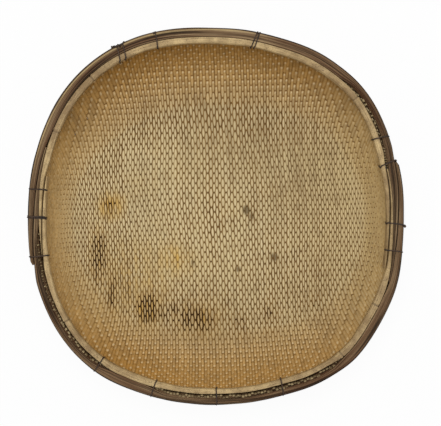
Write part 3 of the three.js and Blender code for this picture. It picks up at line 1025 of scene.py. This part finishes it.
    def soiling(self, rings, phase, tip, cut, calm, rng):
        """Marks that depend on how a strip lies: brown wall, dirt with painted shade, crests worn and
        painted as a highlight, tips painted as a highlight, soaked stains.
        """
        across = np.abs(STRIP_SECTION[:, 0])
        ridge = (1 - across) * (STRIP_SECTION[:, 1] > 0)
        # Ends standing between the hoops, painted dark as shade through the dirt and stain marks
        standing = smooth_step(*STANDING_SHARES, cut)
        sideways = side_share(rings)
        side = smooth_step(*SIDE_SHARES, sideways)
        tint, steep = wall_tint(rings)
        slit = smooth_step(SLIT_FROM - SLIT_WIDER * steep, 1, across) * (1 - SLIT_CALM * calm * side)
        hollow = smooth_step(*self.sunk, -phase)
        hollow = hollow * (1 - HOLLOW_CALM * calm * (1 - HOLLOW_CALM_SIDES * (1 - sideways)))
        hollow = hollow * (1 - HOLLOW_STEEP * steep * (1 - sideways))
        brown = stain_amount(rings, BROWN_STAINS, rng)
        grime = stain_amount(rings, GRIME_AREAS, rng)
        deep = np.maximum(hollow, smooth_step(*DEEP_ACROSS, across)) if self.upright else 1
        line = np.maximum(smooth_step(*LINE_ACROSS, across), LINE_HOLLOW * hollow)
        brown_soak = np.clip(BROWN_SOAK * brown, 0, 1) * deep
        grime_soak = GRIME_SOAK * grime * line * (1 - tint)
        # Slits between strips and hollows where they dip are darkened, as dirt and as painted shade
        dirt_and_shade = np.maximum(slit, hollow) * (1 - steep * (DIRT_STEEP + DIRT_SIDE * side))
        # Crests paler as wear and as a painted highlight
        crest = smooth_step(*CREST_PHASES, phase) * ridge
        crest = crest * (1 + CREST_IN_STAINS * np.maximum(grime, brown))
        # Tips painted as a highlight, on the walls
        tip = tip * ridge**TIP_POWER * steep * (1 - TIP_SIDE * side)
        weft_brown = WEFT_BROWN * steep * (1 - sideways)
        return {
            "wall": tint if self.upright else np.maximum(tint, weft_brown),
            "side": side,
            "dirt_and_shade": np.maximum(dirt_and_shade, standing),
            "crest": crest * (1 - np.maximum(CREST_STEEP * steep, CREST_TINT * tint)),
            "tip": tip * (TIP_LEAST + TIP_TINT * tint),
            "stain_and_shade": np.maximum(np.maximum(brown_soak, grime_soak), standing),
        }


def edge_strip(inset, rise, rng):
    """A strip woven in level round the basket, near the standing edge, with a ring for each degree."""
    point, inward = bowl_surface(outline_point(np.arange(361)) * (1 - inset / EDGE_MEAN))
    point = point + (0, 0, rise) - inward * EDGE_STRIP_BACK * (inset > 0)
    sides = np.cross(unit(np.gradient(point, axis=0)), inward)
    across = EDGE_STRIP_WIDTH / 2 * STRIP_SECTION[:, 0]
    above = EDGE_STRIP_THINNESS * STRIP_THICKNESS / 2 * STRIP_SECTION[:, 1]
    rings = point[:, None] + sides[:, None] * across[:, None] + inward[:, None] * above[:, None]
    marks = dict.fromkeys(("cut", "bleach", "crest", "tip", "stain_and_shade", "dull", "spot", "yellow"), 0)
    strip = Sweep(rings, across, rng, **marks, **EDGE_STRIP_MARKS)
    strip.mark("tone", rng.uniform(0, 1))
    return strip


def weave_mat():
    rng = np.random.default_rng(WEAVE_SEED)
    warp_places = strip_places(warp_pitch, WARP_JITTER, EDGE_HALF_WIDTH, rng)
    weft_places = strip_places(weft_pitch, WEFT_JITTER, EDGE_HALF_LENGTH, rng)
    warps = StripSet(True, warp_places, weft_places, WARP_COVER, WARP_SWING, WARP_SUNK)
    wefts = StripSet(False, weft_places, warp_places, WEFT_COVER, WEFT_SWING, WEFT_SUNK)
    warp_sweeps = [warps.strip(i, rng) for i in range(len(warp_places))]
    weft_sweeps = [wefts.strip(i, rng) for i in range(len(weft_places))]
    edge = [edge_strip(0, EDGE_STRIP_WIDTH * row, rng) for row in range(EDGE_STRIP_ROWS)]
    edge += [edge_strip(inset, 0, rng) for inset in EDGE_STRIP_INSETS]
    warp_look = strip_finish(
        "split bamboo warp", STRIP_PALE, STRIP_DEEP, STRIP_WALL, STRIP_SIDE, WARP_BLEACHED, WARP_WEAR_AND_HIGHLIGHT)
    weft_look = strip_finish(
        "split bamboo weft", WEFT_BROWN_AND_SHADE, WEFT_DEEP, WEFT_WALL, WEFT_SIDE, WEFT_BLEACHED, WEFT_WEAR_AND_HIGHLIGHT)
    add_strips("warp_strips", warp_sweeps, ("left", "mid_left", "mid_right", "right"), warp_look)
    add_strips("weft_strips", weft_sweeps, ("lower", "upper"), weft_look)
    add_piece("edge_strips", edge, warp_look, "bamboo_strip", "woven_mat")


def add_strips(name, sweeps, parts, finish):
    """One set of strips in a few pieces, split between neighbouring strips."""
    sweeps = [sweep for sweep in sweeps if sweep]
    marks = np.linspace(0, len(sweeps), len(parts) + 1).astype(int)
    for part, low, high in zip(parts, marks[:-1], marks[1:]):
        add_piece(f"{name}_{part}", sweeps[low:high], finish, "bamboo_strip", "woven_mat")


# Hoops

HOOP_FACE = MAT_THICKNESS / 2 + HOOP_CLEARANCE


def outer_marks(start, finish):
    """Angle, near face and far face of an outer half at a few places, measured from the mat."""
    under = OUTER_UNDER + HOOP_CLEARANCE
    return np.array([
        (start[0], 0, OUTER_TIP),
        (start[1], 0, OUTER_UNDER),
        (start[1] + LAP_EASE, 0, OUTER_THICKNESS),
        (finish[0] - LAP_EASE, 0, OUTER_THICKNESS),
        (finish[0], OUTER_TIP + HOOP_CLEARANCE, OUTER_THICKNESS),
        (finish[1] - OUTER_END_TAPER, under, under + OUTER_END),
        (finish[1], under, under + OUTER_END / 2),
    ])


def inner_marks(start, finish):
    """The same for an inner half."""
    over = INNER_UNDER + HOOP_CLEARANCE
    tip = INNER_TIP + HOOP_CLEARANCE + INNER_LAP_GAP / 3
    return np.array([
        (start[0], over, over + INNER_TIP),
        (start[1], tip, tip + INNER_UNDER),
        (start[1] + LAP_EASE, 0, INNER_THICKNESS),
        (finish[0] - LAP_EASE, 0, INNER_THICKNESS),
        (finish[0], 0, INNER_UNDER - INNER_LAP_GAP / 2),
        (finish[0] + LAP_EASE, 0, INNER_UNDER - INNER_LAP_GAP),
        (finish[1], 0, INNER_TIP / 2),
    ])


def turned(lap):
    return (lap[0] + 360, lap[1] + 360)


OUTER_HALVES = {
    "outer_hoop_top_half": outer_marks(OUTER_LAP_RIGHT, OUTER_LAP_LEFT),
    "outer_hoop_bottom_half": outer_marks(OUTER_LAP_LEFT, turned(OUTER_LAP_RIGHT)),
}
INNER_HALVES = {
    "inner_hoop_top_half": inner_marks(INNER_LAP_RIGHT, INNER_LAP_LEFT),
    "inner_hoop_bottom_half": inner_marks(INNER_LAP_LEFT, turned(INNER_LAP_RIGHT)),
}


def round_section(top, side, corner):
    """A round-cornered section, clockwise: shares of the straight half sizes, and ways outward."""
    corners = np.array([(-1, 1), (1, 1), (1, -1), (-1, -1)], dtype=float)
    spots = []
    for number, here in enumerate(corners):
        for turn in np.radians(np.linspace(180, 90, corner) - 90 * number):
            spots.append((*here, math.cos(turn), math.sin(turn)))
        after = corners[(number + 1) % 4]
        count = side if number % 2 else top
        for share in np.linspace(0, 1, count + 2)[1:-1]:
            spots.append((*(here + (after - here) * share), *((here + after) / 2)))
    return np.array(spots)


def slat_faces(section, angle, near, far, slat):
    """Depth of each fibre of a plain slat from the mat's middle, and how round its edges are."""
    thick = far - near
    toward_far = (1 + section[:, 0]) / 2
    toward_mat = 1 - toward_far
    upper = (3 + section[:, 1]) / 4
    near_edge = np.minimum(NEAR_ROUND, NEAR_ROUND_SHARE * thick)
    far_edge = np.minimum(slat.edge, FAR_ROUND_SHARE * thick) * upper
    rounding = near_edge * toward_mat + far_edge * toward_far
    crown = near_edge * toward_mat + np.minimum(slat.crown, 2 * far_edge) * toward_far
    depth = near + near_edge + (thick - near_edge - far_edge) * toward_far + section[:, 2] * rounding
    depth = depth - slat.taper * full_share(near, far) * toward_far * (1 - section[:, 1]) / 2
    against_mat = np.clip(1 - (near - HOOP_FACE) / OPEN_DEPTH, 0, 1)
    leaning = toward_mat * smooth_step(*OPEN_HEIGHTS, section[:, 1]) * against_mat
    return depth + hoop_shift(angle, slat)[:, None] * leaning, crown


def full_share(near, far):
    """1 where a slat has its full body, less towards its thin ends."""
    return np.clip((far - near) / FULL_THICKNESS, 0, 1)


def hoop_shift(angle, slat):
    """How far a hoop's top gives way where the hoops stand apart, and closes up elsewhere."""
    shift = 0
    apart = 0
    for start, end, outer, inner, _ in OPEN_ZONES:
        share = zone_share(angle, start, end)
        shift = shift + share * (outer if slat.side > 0 else inner)
        apart = apart + share
    return shift - (1 - apart) * CLOSING


def hoop_tone(angle, wave, slat):
    """How dark a half is along itself, with the stretches of another colour that the photo shows."""
    # The cosine term is painted shade, darker at the hoops' corners
    tone = TONE_WAVE * wave + TONE_MIDDLE - CORNER_SHADE * np.cos(4 * np.radians(angle))
    tone = tone + RED_TONE * sum(zone_share(angle, *zone) for zone in RED_ZONES)
    if slat is INNER_SLAT:
        tone = tone + BROWN_TONE * sum(zone_share(angle, *zone) for zone in BROWN_ZONES)
    return tone[:, None]


def hoop_half(marks, slat, rng):
    """One bent half: a slat with rounded edges and fibre ridges, leaning on its neighbour."""
    angle = np.arange(marks[0, 0], marks[-1, 0], HOOP_STEP)
    run = np.radians(angle) * EDGE_MEAN
    near, far = (HOOP_FACE + np.interp(angle, marks[:, 0], marks[:, k])[:, None] for k in (1, 2))
    section = round_section(*SECTION_POINTS)
    depth, crown = slat_faces(section, angle, near, far, slat)
    wave = smooth_noise(rng, run, TOP_WAVE_LENGTH, 2)
    tall = slat.height / 2 - TOP_WAVE
    up = DEPTH - slat.height / 2 + section[:, 1] * (tall - crown) + section[:, 3] * crown
    up = up + TOP_WAVE * wave[:, :1]
    full = full_share(near, far)
    swell = slat.ridge * smooth_noise(rng, run, RIDGE_LENGTH, len(section)) * full
    if slat is OUTER_SLAT:
        relief, looks = split_face(section, angle, run, full, rng)
    else:
        relief, looks = whittled_face(section, angle, run, full, rng)
    swell = swell + relief
    depth = depth + section[:, 2] * swell
    up = np.minimum(up + section[:, 3] * swell, DEPTH)
    outward = outline_normal(angle)[:, None] * slat.side
    flat = outline_point(angle)[:, None] + outward * depth[..., None]
    rings = np.concatenate([flat, up[..., None]], axis=-1)
    middle = len(angle) // 2
    girth = np.concatenate([[0], np.cumsum(np.hypot(*np.diff([depth[middle], up[middle]])))])
    tone = hoop_tone(angle, wave[:, 1], slat)
    return Sweep(rings[:, ::slat.side], girth[::slat.side], rng, tone=tone, **looks)


def split_face(section, angle, run, full, rng):
    """Relief and marks of the dark hoop: grooves with painted shade in them, painted shade along its
    edge, and the skin left on it.
    """
    grooves = groove_depth(section, run, rng) * full
    line = np.maximum(grooves, edge_line(section, run, rng))
    return -GROOVE_DEPTH * grooves, {"groove": line, "skin": skin_line(section, angle)}


def whittled_face(section, angle, run, full, rng):
    """Relief and marks of the pale hoop: swollen joints, and facets left by the knife."""
    joints = joint_rings(angle)
    relief = JOINT_HEIGHT * joints[:, :1] * full
    for length, size in WHITTLING:
        relief = relief + size * smooth_noise(rng, run, length) * full * (section[:, 0] > 0)
    return relief, {"joint": joints[:, 1:]}


def edge_line(section, run, rng):
    """Painted shade along the outer top edge, stronger in some places than in others."""
    corner = (section[:, 0] > STRAIGHT) * smooth_step(*EDGE_LINE_UP, section[:, 3])
    corner = corner * smooth_step(*EDGE_LINE_OUT, section[:, 2])
    return corner * (EDGE_LINE + EDGE_LINE_FADING * smooth_noise(rng, run, EDGE_LINE_LENGTH))


def skin_line(section, angle):
    """The pale line of bamboo skin left along the top at the upper left, near the outer edge."""
    across = bell(section[:, 0] - SKIN_PLACE, SKIN_WIDTH) * (section[:, 3] > STRAIGHT)
    start = smooth_step(SKIN_ZONE[0], SKIN_ZONE[0] + SKIN_FADE, angle)
    finish = 1 - smooth_step(SKIN_ZONE[1] - SKIN_FADE, SKIN_ZONE[1], angle)
    return across * (start * finish)[:, None]


def groove_depth(section, run, rng):
    """Grooves along the top of a split slat, wandering from side to side."""
    depth = np.zeros((len(run), len(section)))
    for groove in GROOVES:
        middle = groove + GROOVE_WANDER * smooth_noise(rng, run, GROOVE_WANDER_LENGTH)
        strength = GROOVE_STRENGTH + GROOVE_FADING * smooth_noise(rng, run, GROOVE_FADING_LENGTH)
        depth += strength * bell(section[:, 0] - middle, GROOVE_WIDTH)
    return np.clip(depth, 0, 1) * np.clip(section[:, 3], 0, 1)


def joint_rings(angle):
    """The bamboo's swollen joints along a half: how far they stand out, and their dark line."""
    rings = np.zeros((len(angle), 2))
    for joint in JOINT_ANGLES:
        away = np.radians(turn_from(angle, joint)) * EDGE_MEAN
        line = bell(away - JOINT_WIDTH, JOINT_WIDTH / 2)
        rings[:, 0] += bell(away, JOINT_WIDTH) - JOINT_NOTCH * line
        rings[:, 1] += line
    return rings


def bend_hoops():
    rng = np.random.default_rng(HOOP_SEED)
    dark = dark_hoop_finish()
    pale = pale_hoop_finish()
    for name, marks in OUTER_HALVES.items():
        add_piece(f"{name}_bent", [hoop_half(marks, OUTER_SLAT, rng)], dark, "dark_bamboo", name)
    for name, marks in INNER_HALVES.items():
        add_piece(f"{name}_bent", [hoop_half(marks, INNER_SLAT, rng)], pale, "pale_bamboo", name)


# Wire ties


def hoop_reach(halves, angle, spread):
    """How far the hoop reaches from the middle of the mat over the width of a tie."""
    depths = []
    for marks in halves.values():
        for at in (angle - spread, angle, angle + spread):
            for turn in (-360, 0, 360):
                if marks[0, 0] <= at + turn <= marks[-1, 0]:
                    depths.append(np.interp(at + turn, marks[:, 0], marks[:, 2]))
    return HOOP_FACE + max(depths)


def tie_loops(out, inside, tie):
    """The wound part of a tie: outward depth, place along the rim, height."""
    bend = WIRE_BEND
    upper = DEPTH + WIRE_OFF - bend
    lower = DEPTH - RIM_HEIGHT - WIRE_OFF + bend
    right, left = out - bend, inside + bend
    centres = ((right, upper), (left, upper), (left + INNER_SLAT.taper, lower), (right, lower))
    path = []
    for _ in range(tie.turns):
        for number, (x, z) in enumerate(centres):
            for lean in np.radians(90 * number + np.linspace(0, 90, WIRE_BEND_POINTS)):
                path.append((x + bend * math.cos(lean), 0, z + bend * math.sin(lean)))
    path = np.array(path)
    inward = (out - path[:, 0]) / (out - inside)
    path[:, 1] = tie.gap * (tie.turns * (np.linspace(0, 1, len(path)) - 0.5) + WIRE_START)
    path[:, 1] *= 1 + tie.splay * inward
    path[:, 1] += tie.slant * (inward - 0.5) + tie.bow * 4 * inward * (1 - inward)
    path[:, 1] += tie.hook * inward**HOOK_POWER
    return path


def twist_strand(start, tie, phase):
    """One strand of the twisted ends."""
    way = unit(np.array(tie.way, dtype=float))
    one = unit(np.cross(way, TWIST_ASIDE))
    two = np.cross(way, one)
    share = np.linspace(TWIST_START, 1, TWIST_POINTS)[:, None]
    turn = phase + share * TWIST_TURNS * 2 * math.pi
    radius = WIRE_DIAMETER * TWIST_RADIUS
    return start + way * share * tie.ends + radius * (one * np.cos(turn) + two * np.sin(turn))


def smooth_path(points, parts):
    """A rounded curve through the points."""
    padded = np.concatenate([points[:1], points, points[-1:]])
    a, b, c, d = (padded[k:len(padded) - 3 + k, None] for k in range(4))
    t = np.linspace(0, 1, parts, endpoint=False)[None, :, None]
    curve = b + 0.5 * t * (c - a + t * (2 * a - 5 * b + 4 * c - d + t * (3 * (b - c) + d - a)))
    return np.concatenate([curve.reshape(-1, 3), points[-1:]])


def wire_rings(path):
    tangents = unit(np.gradient(path, axis=0))
    normal = unit(np.cross(tangents[0], WIRE_ASIDE))
    normals = []
    for tangent in tangents:
        normal = unit(normal - tangent * normal.dot(tangent))
        normals.append(normal)
    normals = np.array(normals)
    sides = np.cross(tangents, normals)
    turn = -np.arange(WIRE_SIDES) * 2 * math.pi / WIRE_SIDES
    ring = np.cos(turn)[:, None] * sides[:, None] + np.sin(turn)[:, None] * normals[:, None]
    return path[:, None] + ring * WIRE_DIAMETER / 2


def wire_tie(tie, rng):
    """One wire from twisted end to twisted end, wound round both hoops."""
    spread = math.degrees(tie.turns * tie.gap / EDGE_HALF_WIDTH)
    out = hoop_reach(OUTER_HALVES, tie.angle, spread) + WIRE_OFF - WIRE_BITE
    inside = -hoop_reach(INNER_HALVES, tie.angle, spread) - WIRE_OFF
    loops = tie_loops(out, inside, tie)
    loops[2:-2] += rng.normal(0, WIRE_UNEVEN, (len(loops) - 4, 3))
    start = np.array([out + TWIST_OUT - tie.inset, tie.along, DEPTH - tie.below])
    first = twist_strand(start, tie, 0)[::-1]
    last = twist_strand(start, tie, math.pi)
    path = smooth_path(np.concatenate([first, loops, last]), WIRE_PARTS)
    angle = np.array(float(tie.angle))
    normal = outline_normal(angle)
    along = np.array([-normal[1], normal[0]])
    flat = outline_point(angle) + path[:, :1] * normal + path[:, 1:2] * along
    rings = wire_rings(np.column_stack([flat, path[:, 2]]))
    around = np.arange(WIRE_SIDES) * math.pi * WIRE_DIAMETER / WIRE_SIDES
    return Sweep(rings, around, rng)


def wind_ties():
    rng = np.random.default_rng(WIRE_SEED)
    iron = iron_finish()
    for name, tie in TIES.items():
        add_piece(f"{name}_wire", [wire_tie(tie, rng)], iron, "iron_wire", name)


# Finishes


def link(tree, source, node, socket):
    """Sets a socket, or joins it to another node's output."""
    target = node.inputs[socket]
    if isinstance(source, bpy.types.NodeSocket):
        tree.links.new(source, target)
    elif isinstance(source, tuple) and target.type == "RGBA":
        target.default_value = (*source, 1)
    else:
        target.default_value = source


def reckon(tree, operation, a, b):
    node = tree.nodes.new("ShaderNodeMath")
    node.operation = operation
    link(tree, a, node, 0)
    link(tree, b, node, 1)
    return node.outputs[0]


def product(tree, value, *factors):
    for factor in factors:
        value = reckon(tree, "MULTIPLY", value, factor)
    return value


def weighted(tree, first, *terms):
    """Sum of values, each times its weight."""
    total = product(tree, *first)
    for term in terms:
        total = reckon(tree, "ADD", total, product(tree, *term))
    return total


def attribute(tree, name, output="Fac"):
    node = tree.nodes.new("ShaderNodeAttribute")
    node.attribute_name = name
    return node.outputs[output]


def mask(tree, name, *factors):
    """A mark that the mesh carries, times any factors."""
    return product(tree, attribute(tree, name), *factors)


def stretch(tree, value, given, wanted=UNIT_RANGE):
    """A value moved from one range to another, and kept inside it."""
    node = tree.nodes.new("ShaderNodeMapRange")
    for socket, source in enumerate((value, *given, *wanted)):
        link(tree, source, node, socket)
    return node.outputs[0]


def layered(tree, colour, *layers):
    """A colour with others laid over it in turn, each as strongly as its mask says.

    A mix node's two colours are its sockets 6 and 7, and the mixed colour is its output 2.
    """
    for share, tint in layers:
        node = tree.nodes.new("ShaderNodeMix")
        node.data_type = "RGBA"
        link(tree, share, node, 0)
        link(tree, colour, node, 6)
        link(tree, tint, node, 7)
        colour = node.outputs[2]
    return colour


def noise(tree, vector, scale, detail):
    node = tree.nodes.new("ShaderNodeTexNoise")
    link(tree, vector, node, "Vector")
    link(tree, scale, node, "Scale")
    link(tree, detail, node, "Detail")
    return node.outputs["Fac"]


def new_group(name, inputs, outputs):
    group = bpy.data.node_groups.new(name, "ShaderNodeTree")
    for label, value in inputs.items():
        socket = group.interface.new_socket(label, in_out="INPUT", socket_type="NodeSocketFloat")
        socket.default_value = value
    for label in outputs:
        group.interface.new_socket(label, in_out="OUTPUT", socket_type="NodeSocketFloat")
    return group, group.nodes.new("NodeGroupInput"), group.nodes.new("NodeGroupOutput")


def fibre_group():
    """Long bamboo fibres along a strip or hoop: broad streaks of colour and fine lines for bump.

    Length and width of a streak are in millimetres.
    """
    group, given, result = new_group("bamboo fibre", {"Length": 60, "Width": 1}, ("Streak", "Line"))
    size = group.nodes.new("ShaderNodeCombineXYZ")
    link(group, given.outputs["Length"], size, 0)
    link(group, given.outputs["Width"], size, 1)
    link(group, 1.0, size, 2)
    scaled = group.nodes.new("ShaderNodeVectorMath")
    scaled.operation = "DIVIDE"
    link(group, attribute(group, "grain", "Vector"), scaled, 0)
    link(group, size.outputs[0], scaled, 1)
    for output, scale in (("Streak", 1.0), ("Line", FIBRE_LINES)):
        fibres = noise(group, scaled.outputs[0], scale, detail=2.0)
        link(group, stretch(group, fibres, FIBRE_RANGE), result, output)
    return group


def patina_group():
    """Soft patches and fine specks of handling and weather over the whole basket, sized in metres."""
    group, given, result = new_group("weathered patches", {"Size": 0.05}, ("Patch", "Speck"))
    where = group.nodes.new("ShaderNodeTexCoord").outputs["Object"]
    scale = reckon(group, "DIVIDE", 1.0, given.outputs["Size"])
    patches = noise(group, where, scale, detail=3.0)
    link(group, stretch(group, patches, PATCH_RANGE), result, "Patch")
    specks = noise(group, where, product(group, scale, PATCH_SPECKS), detail=3.0)
    link(group, stretch(group, specks, SPECK_RANGE), result, "Speck")
    return group


FIBRE = fibre_group()
PATINA = patina_group()


def placed_group(tree, group, **values):
    node = tree.nodes.new("ShaderNodeGroup")
    node.node_tree = group
    for label, value in values.items():
        node.inputs[label].default_value = value
    return node.outputs


def new_finish(name, **sockets):
    finish = bpy.data.materials.new(name)
    finish.use_nodes = True
    shader = finish.node_tree.nodes["Principled BSDF"]
    for label, value in sockets.items():
        shader.inputs[label.replace("_", " ")].default_value = value
    return finish, finish.node_tree, shader


def finish_surface(tree, shader, colour, pattern, roughness, bump, relief):
    """Joins the colour to the shader, with roughness and bump from one fine pattern."""
    node = tree.nodes.new("ShaderNodeBump")
    node.inputs["Strength"].default_value = bump
    node.inputs["Distance"].default_value = relief * MM
    link(tree, pattern, node, "Height")
    link(tree, node.outputs[0], shader, "Normal")
    link(tree, colour, shader, "Base Color")
    link(tree, stretch(tree, pattern, UNIT_RANGE, roughness), shader, "Roughness")


def strip_finish(name, pale, deep, wall, side, bleached, worn):
    """Split bamboo: fibres, faded middle, brown wall, crests worn and painted as a highlight, then dirt
    with painted shade, stains, tips painted as a highlight and cut ends.
    """
    finish, tree, shader = new_finish(name, Specular_IOR_Level=0.06)
    fibre = placed_group(tree, FIBRE, **STRIP_FIBRE)
    patch = placed_group(tree, PATINA, Size=STRIP_PATCH * MM)
    smudge = placed_group(tree, PATINA, Size=STRIP_SMUDGE * MM)
    shade = weighted(
        tree,
        (fibre["Streak"], STRIP_STREAKS),
        (mask(tree, "tone"), STRIP_TONES),
        (patch["Speck"], STRIP_SPECKS),
    )
    on_wall = layered(
        tree, wall, (mask(tree, "side"), side), (product(tree, shade, WALL_SHADE), STRIP_DIRT_AND_SHADE))
    speckled = stretch(tree, patch["Speck"], UNIT_RANGE, DIRT_SPECKLED)
    patchy = stretch(tree, patch["Patch"], UNIT_RANGE, DIRT_PATCHY)
    stain_and_shade = mask(tree, "stain_and_shade")
    colour = layered(
        tree, pale,
        (shade, deep),
        (mask(tree, "bleach", patch["Patch"], bleached), STRIP_BLEACHED),
        (mask(tree, "wall"), on_wall),
        # Crests worn and painted as a highlight
        (mask(tree, "crest", worn), STRIP_WEAR_AND_HIGHLIGHT),
        (mask(tree, "yellow"), STAIN_YELLOW),
        (mask(tree, "dull", DULL_STRENGTH), STRIP_DULL),
        (stretch(tree, smudge["Patch"], SMUDGE_RANGE, SMUDGE_STRENGTH), STRIP_DULL),
        # Dirt and painted shade in the slits, hollows and standing ends
        (mask(tree, "dirt_and_shade", speckled, patchy), STRIP_DIRT_AND_SHADE),
        (mask(tree, "spot", SPOT_STRENGTH), SPOT_BROWN),
        # Brown and black stains, which also paint the standing ends dark as shade
        (stretch(tree, stain_and_shade, BROWN_RANGE, BROWN_STRENGTH), BROWN_STAIN_AND_SHADE),
        (stretch(tree, stain_and_shade, BLACK_RANGE), BLACK_STAIN_AND_SHADE),
        # Painted highlight at the floats' tips
        (mask(tree, "tip", worn * TIP_HIGHLIGHT), STRIP_TIP_HIGHLIGHT),
        (mask(tree, "cut"), CUT_END),
    )
    finish_surface(tree, shader, colour, fibre["Line"], roughness=(0.5, 0.72), bump=0.35, relief=0.2)
    return finish


def pale_hoop_finish():
    """Worn pale bamboo: streaks and soft patches, dark specks, and a dark line at each joint."""
    finish, tree, shader = new_finish("worn pale bamboo", Specular_IOR_Level=0.3)
    fibre = placed_group(tree, FIBRE, **PALE_FIBRE)
    patch = placed_group(tree, PATINA, Size=PALE_PATCH * MM)
    shade = weighted(
        tree,
        (fibre["Streak"], PALE_STREAKS),
        (patch["Patch"], PALE_PATCHES),
        (mask(tree, "tone"), PALE_TONES),
    )
    specks = stretch(tree, patch["Speck"], PALE_SPECK_RANGE, PALE_SPECK_STRENGTH)
    joints = mask(tree, "joint", JOINT_STRENGTH)
    colour = layered(
        tree, HOOP_PALE, (shade, HOOP_PALE_DEEP), (specks, HOOP_SPECK), (joints, HOOP_JOINT))
    finish_surface(tree, shader, colour, fibre["Line"], roughness=(0.5, 0.7), bump=0.4, relief=0.4)
    return finish


def dark_hoop_finish():
    """Weathered dark bamboo: red bands, light streaks, black lines, painted shade in the grooves and
    along the outer edge, and the skin left on it.
    """
    finish, tree, shader = new_finish("weathered dark bamboo", Specular_IOR_Level=0.1)
    band = placed_group(tree, FIBRE, **DARK_BAND)
    line = placed_group(tree, FIBRE, **DARK_LINE)
    fibre = placed_group(tree, FIBRE, **DARK_FIBRE)
    patch = placed_group(tree, PATINA, Size=DARK_PATCH * MM)
    tone = mask(tree, "tone")
    red = weighted(tree, (band["Streak"], tone), (patch["Patch"], RED_PATCHES))
    light = product(
        tree,
        stretch(tree, line["Streak"], LIGHT_RANGE, LIGHT_STRENGTH),
        stretch(tree, fibre["Streak"], UNIT_RANGE, LIGHT_FIBRES),
        stretch(tree, tone, LIGHT_TONE_RANGE, LIGHT_TONE_STRENGTH),
    )
    black = stretch(tree, line["Streak"], DARK_LINE_RANGE, DARK_LINE_STRENGTH)
    # The groove mark paints shade black in the grooves and along the outer edge
    black = reckon(tree, "MAXIMUM", black, mask(tree, "groove"))
    skin = mask(tree, "skin", stretch(tree, fibre["Streak"], SKIN_RANGE, SKIN_STRENGTH))
    colour = layered(
        tree, HOOP_DARK, (red, HOOP_RED), (light, HOOP_BROWN), (black, HOOP_BLACK), (skin, HOOP_SKIN))
    finish_surface(tree, shader, colour, fibre["Line"], roughness=(0.55, 0.8), bump=0.6, relief=0.6)
    return finish


def iron_finish():
    """Oxidised iron wire, rusty in patches."""
    finish, tree, shader = new_finish("oxidised iron wire", Metallic=0.7)
    patch = placed_group(tree, PATINA, Size=RUST_PATCH * MM)
    colour = layered(tree, IRON, (patch["Patch"], IRON_RUST))
    finish_surface(tree, shader, colour, patch["Speck"], roughness=(0.45, 0.75), bump=0.4, relief=0.2)
    return finish


# Studio


def background_rays(tree):
    """1 for rays that show the background: from the camera, off metal or through glass."""
    path = tree.nodes.new("ShaderNodeLightPath")
    seen = reckon(tree, "MAXIMUM", path.outputs["Is Camera Ray"], path.outputs["Is Glossy Ray"])
    return reckon(tree, "MAXIMUM", seen, path.outputs["Is Transmission Ray"])


def white_floor():
    """A pale floor that shows white round the basket and keeps a little of its shadow."""
    mesh = bpy.data.meshes.new("floor")
    square = ((-1, -1), (1, -1), (1, 1), (-1, 1))
    corners = np.array([(x * FLOOR_HALF, y * FLOOR_HALF, -FLOOR_DROP) for x, y in square]) * MM
    mesh.from_pydata(corners.tolist(), [], [(0, 1, 2, 3)])
    floor = bpy.data.objects.new("floor", mesh)
    bpy.context.scene.collection.objects.link(floor)
    finish, tree, shader = new_finish("white studio floor", Roughness=0.9)
    link(tree, FLOOR_GREY, shader, "Base Color")
    glow = tree.nodes.new("ShaderNodeEmission")
    link(tree, WHITE, glow, "Color")
    away = tree.nodes.new("ShaderNodeVectorMath")
    away.operation = "LENGTH"
    link(tree, tree.nodes.new("ShaderNodeTexCoord").outputs["Object"], away, 0)
    white_from = [distance * MM for distance in FLOOR_WHITE_FROM]
    clear = stretch(tree, away.outputs["Value"], white_from, (0.0, FLOOR_WHITE))
    blend = tree.nodes.new("ShaderNodeMixShader")
    link(tree, product(tree, background_rays(tree), clear), blend, 0)
    link(tree, shader.outputs[0], blend, 1)
    link(tree, glow.outputs[0], blend, 2)
    link(tree, blend.outputs[0], tree.nodes["Material Output"], "Surface")
    mesh.materials.append(finish)


def soft_sky():
    world = bpy.data.worlds.new("studio")
    bpy.context.scene.world = world
    world.use_nodes = True
    tree = world.node_tree
    sky = tree.nodes["Background"]
    link(tree, WHITE, sky, "Color")
    link(tree, stretch(tree, background_rays(tree), UNIT_RANGE, (SKY_STRENGTH, 1.0)), sky, "Strength")


def soft_lamp():
    light = bpy.data.lights.new("soft key", "AREA")
    light.shape = "DISK"
    light.size = LAMP_SIZE * MM
    light.energy = LAMP_POWER
    lamp = bpy.data.objects.new("soft key", light)
    lamp.location = [place * MM for place in LAMP_PLACE]
    lamp.rotation_euler = (-lamp.location).to_track_quat("-Z", "Y").to_euler()
    bpy.context.scene.collection.objects.link(lamp)


def camera_above():
    lens = bpy.data.cameras.new("camera")
    lens.sensor_width = SENSOR_WIDTH
    lens.lens = SENSOR_WIDTH * CAMERA_ABOVE_RIM / (FRAME_WIDTH * PIXEL_AT_RIM)
    camera = bpy.data.objects.new("camera", lens)
    across = (FRAME_MIDDLE[0] - BASKET_MIDDLE[0]) * PIXEL_AT_RIM
    up = (BASKET_MIDDLE[1] - FRAME_MIDDLE[1]) * PIXEL_AT_RIM
    camera.location = (across * MM, up * MM, (DEPTH + CAMERA_ABOVE_RIM) * MM)
    bpy.context.scene.collection.objects.link(camera)
    bpy.context.scene.camera = camera


bpy.context.scene.view_settings.view_transform = "Standard"
camera_above()
white_floor()
soft_sky()
soft_lamp()
weave_mat()
bend_hoops()
wind_ties()

bpy.context.view_layer.update()
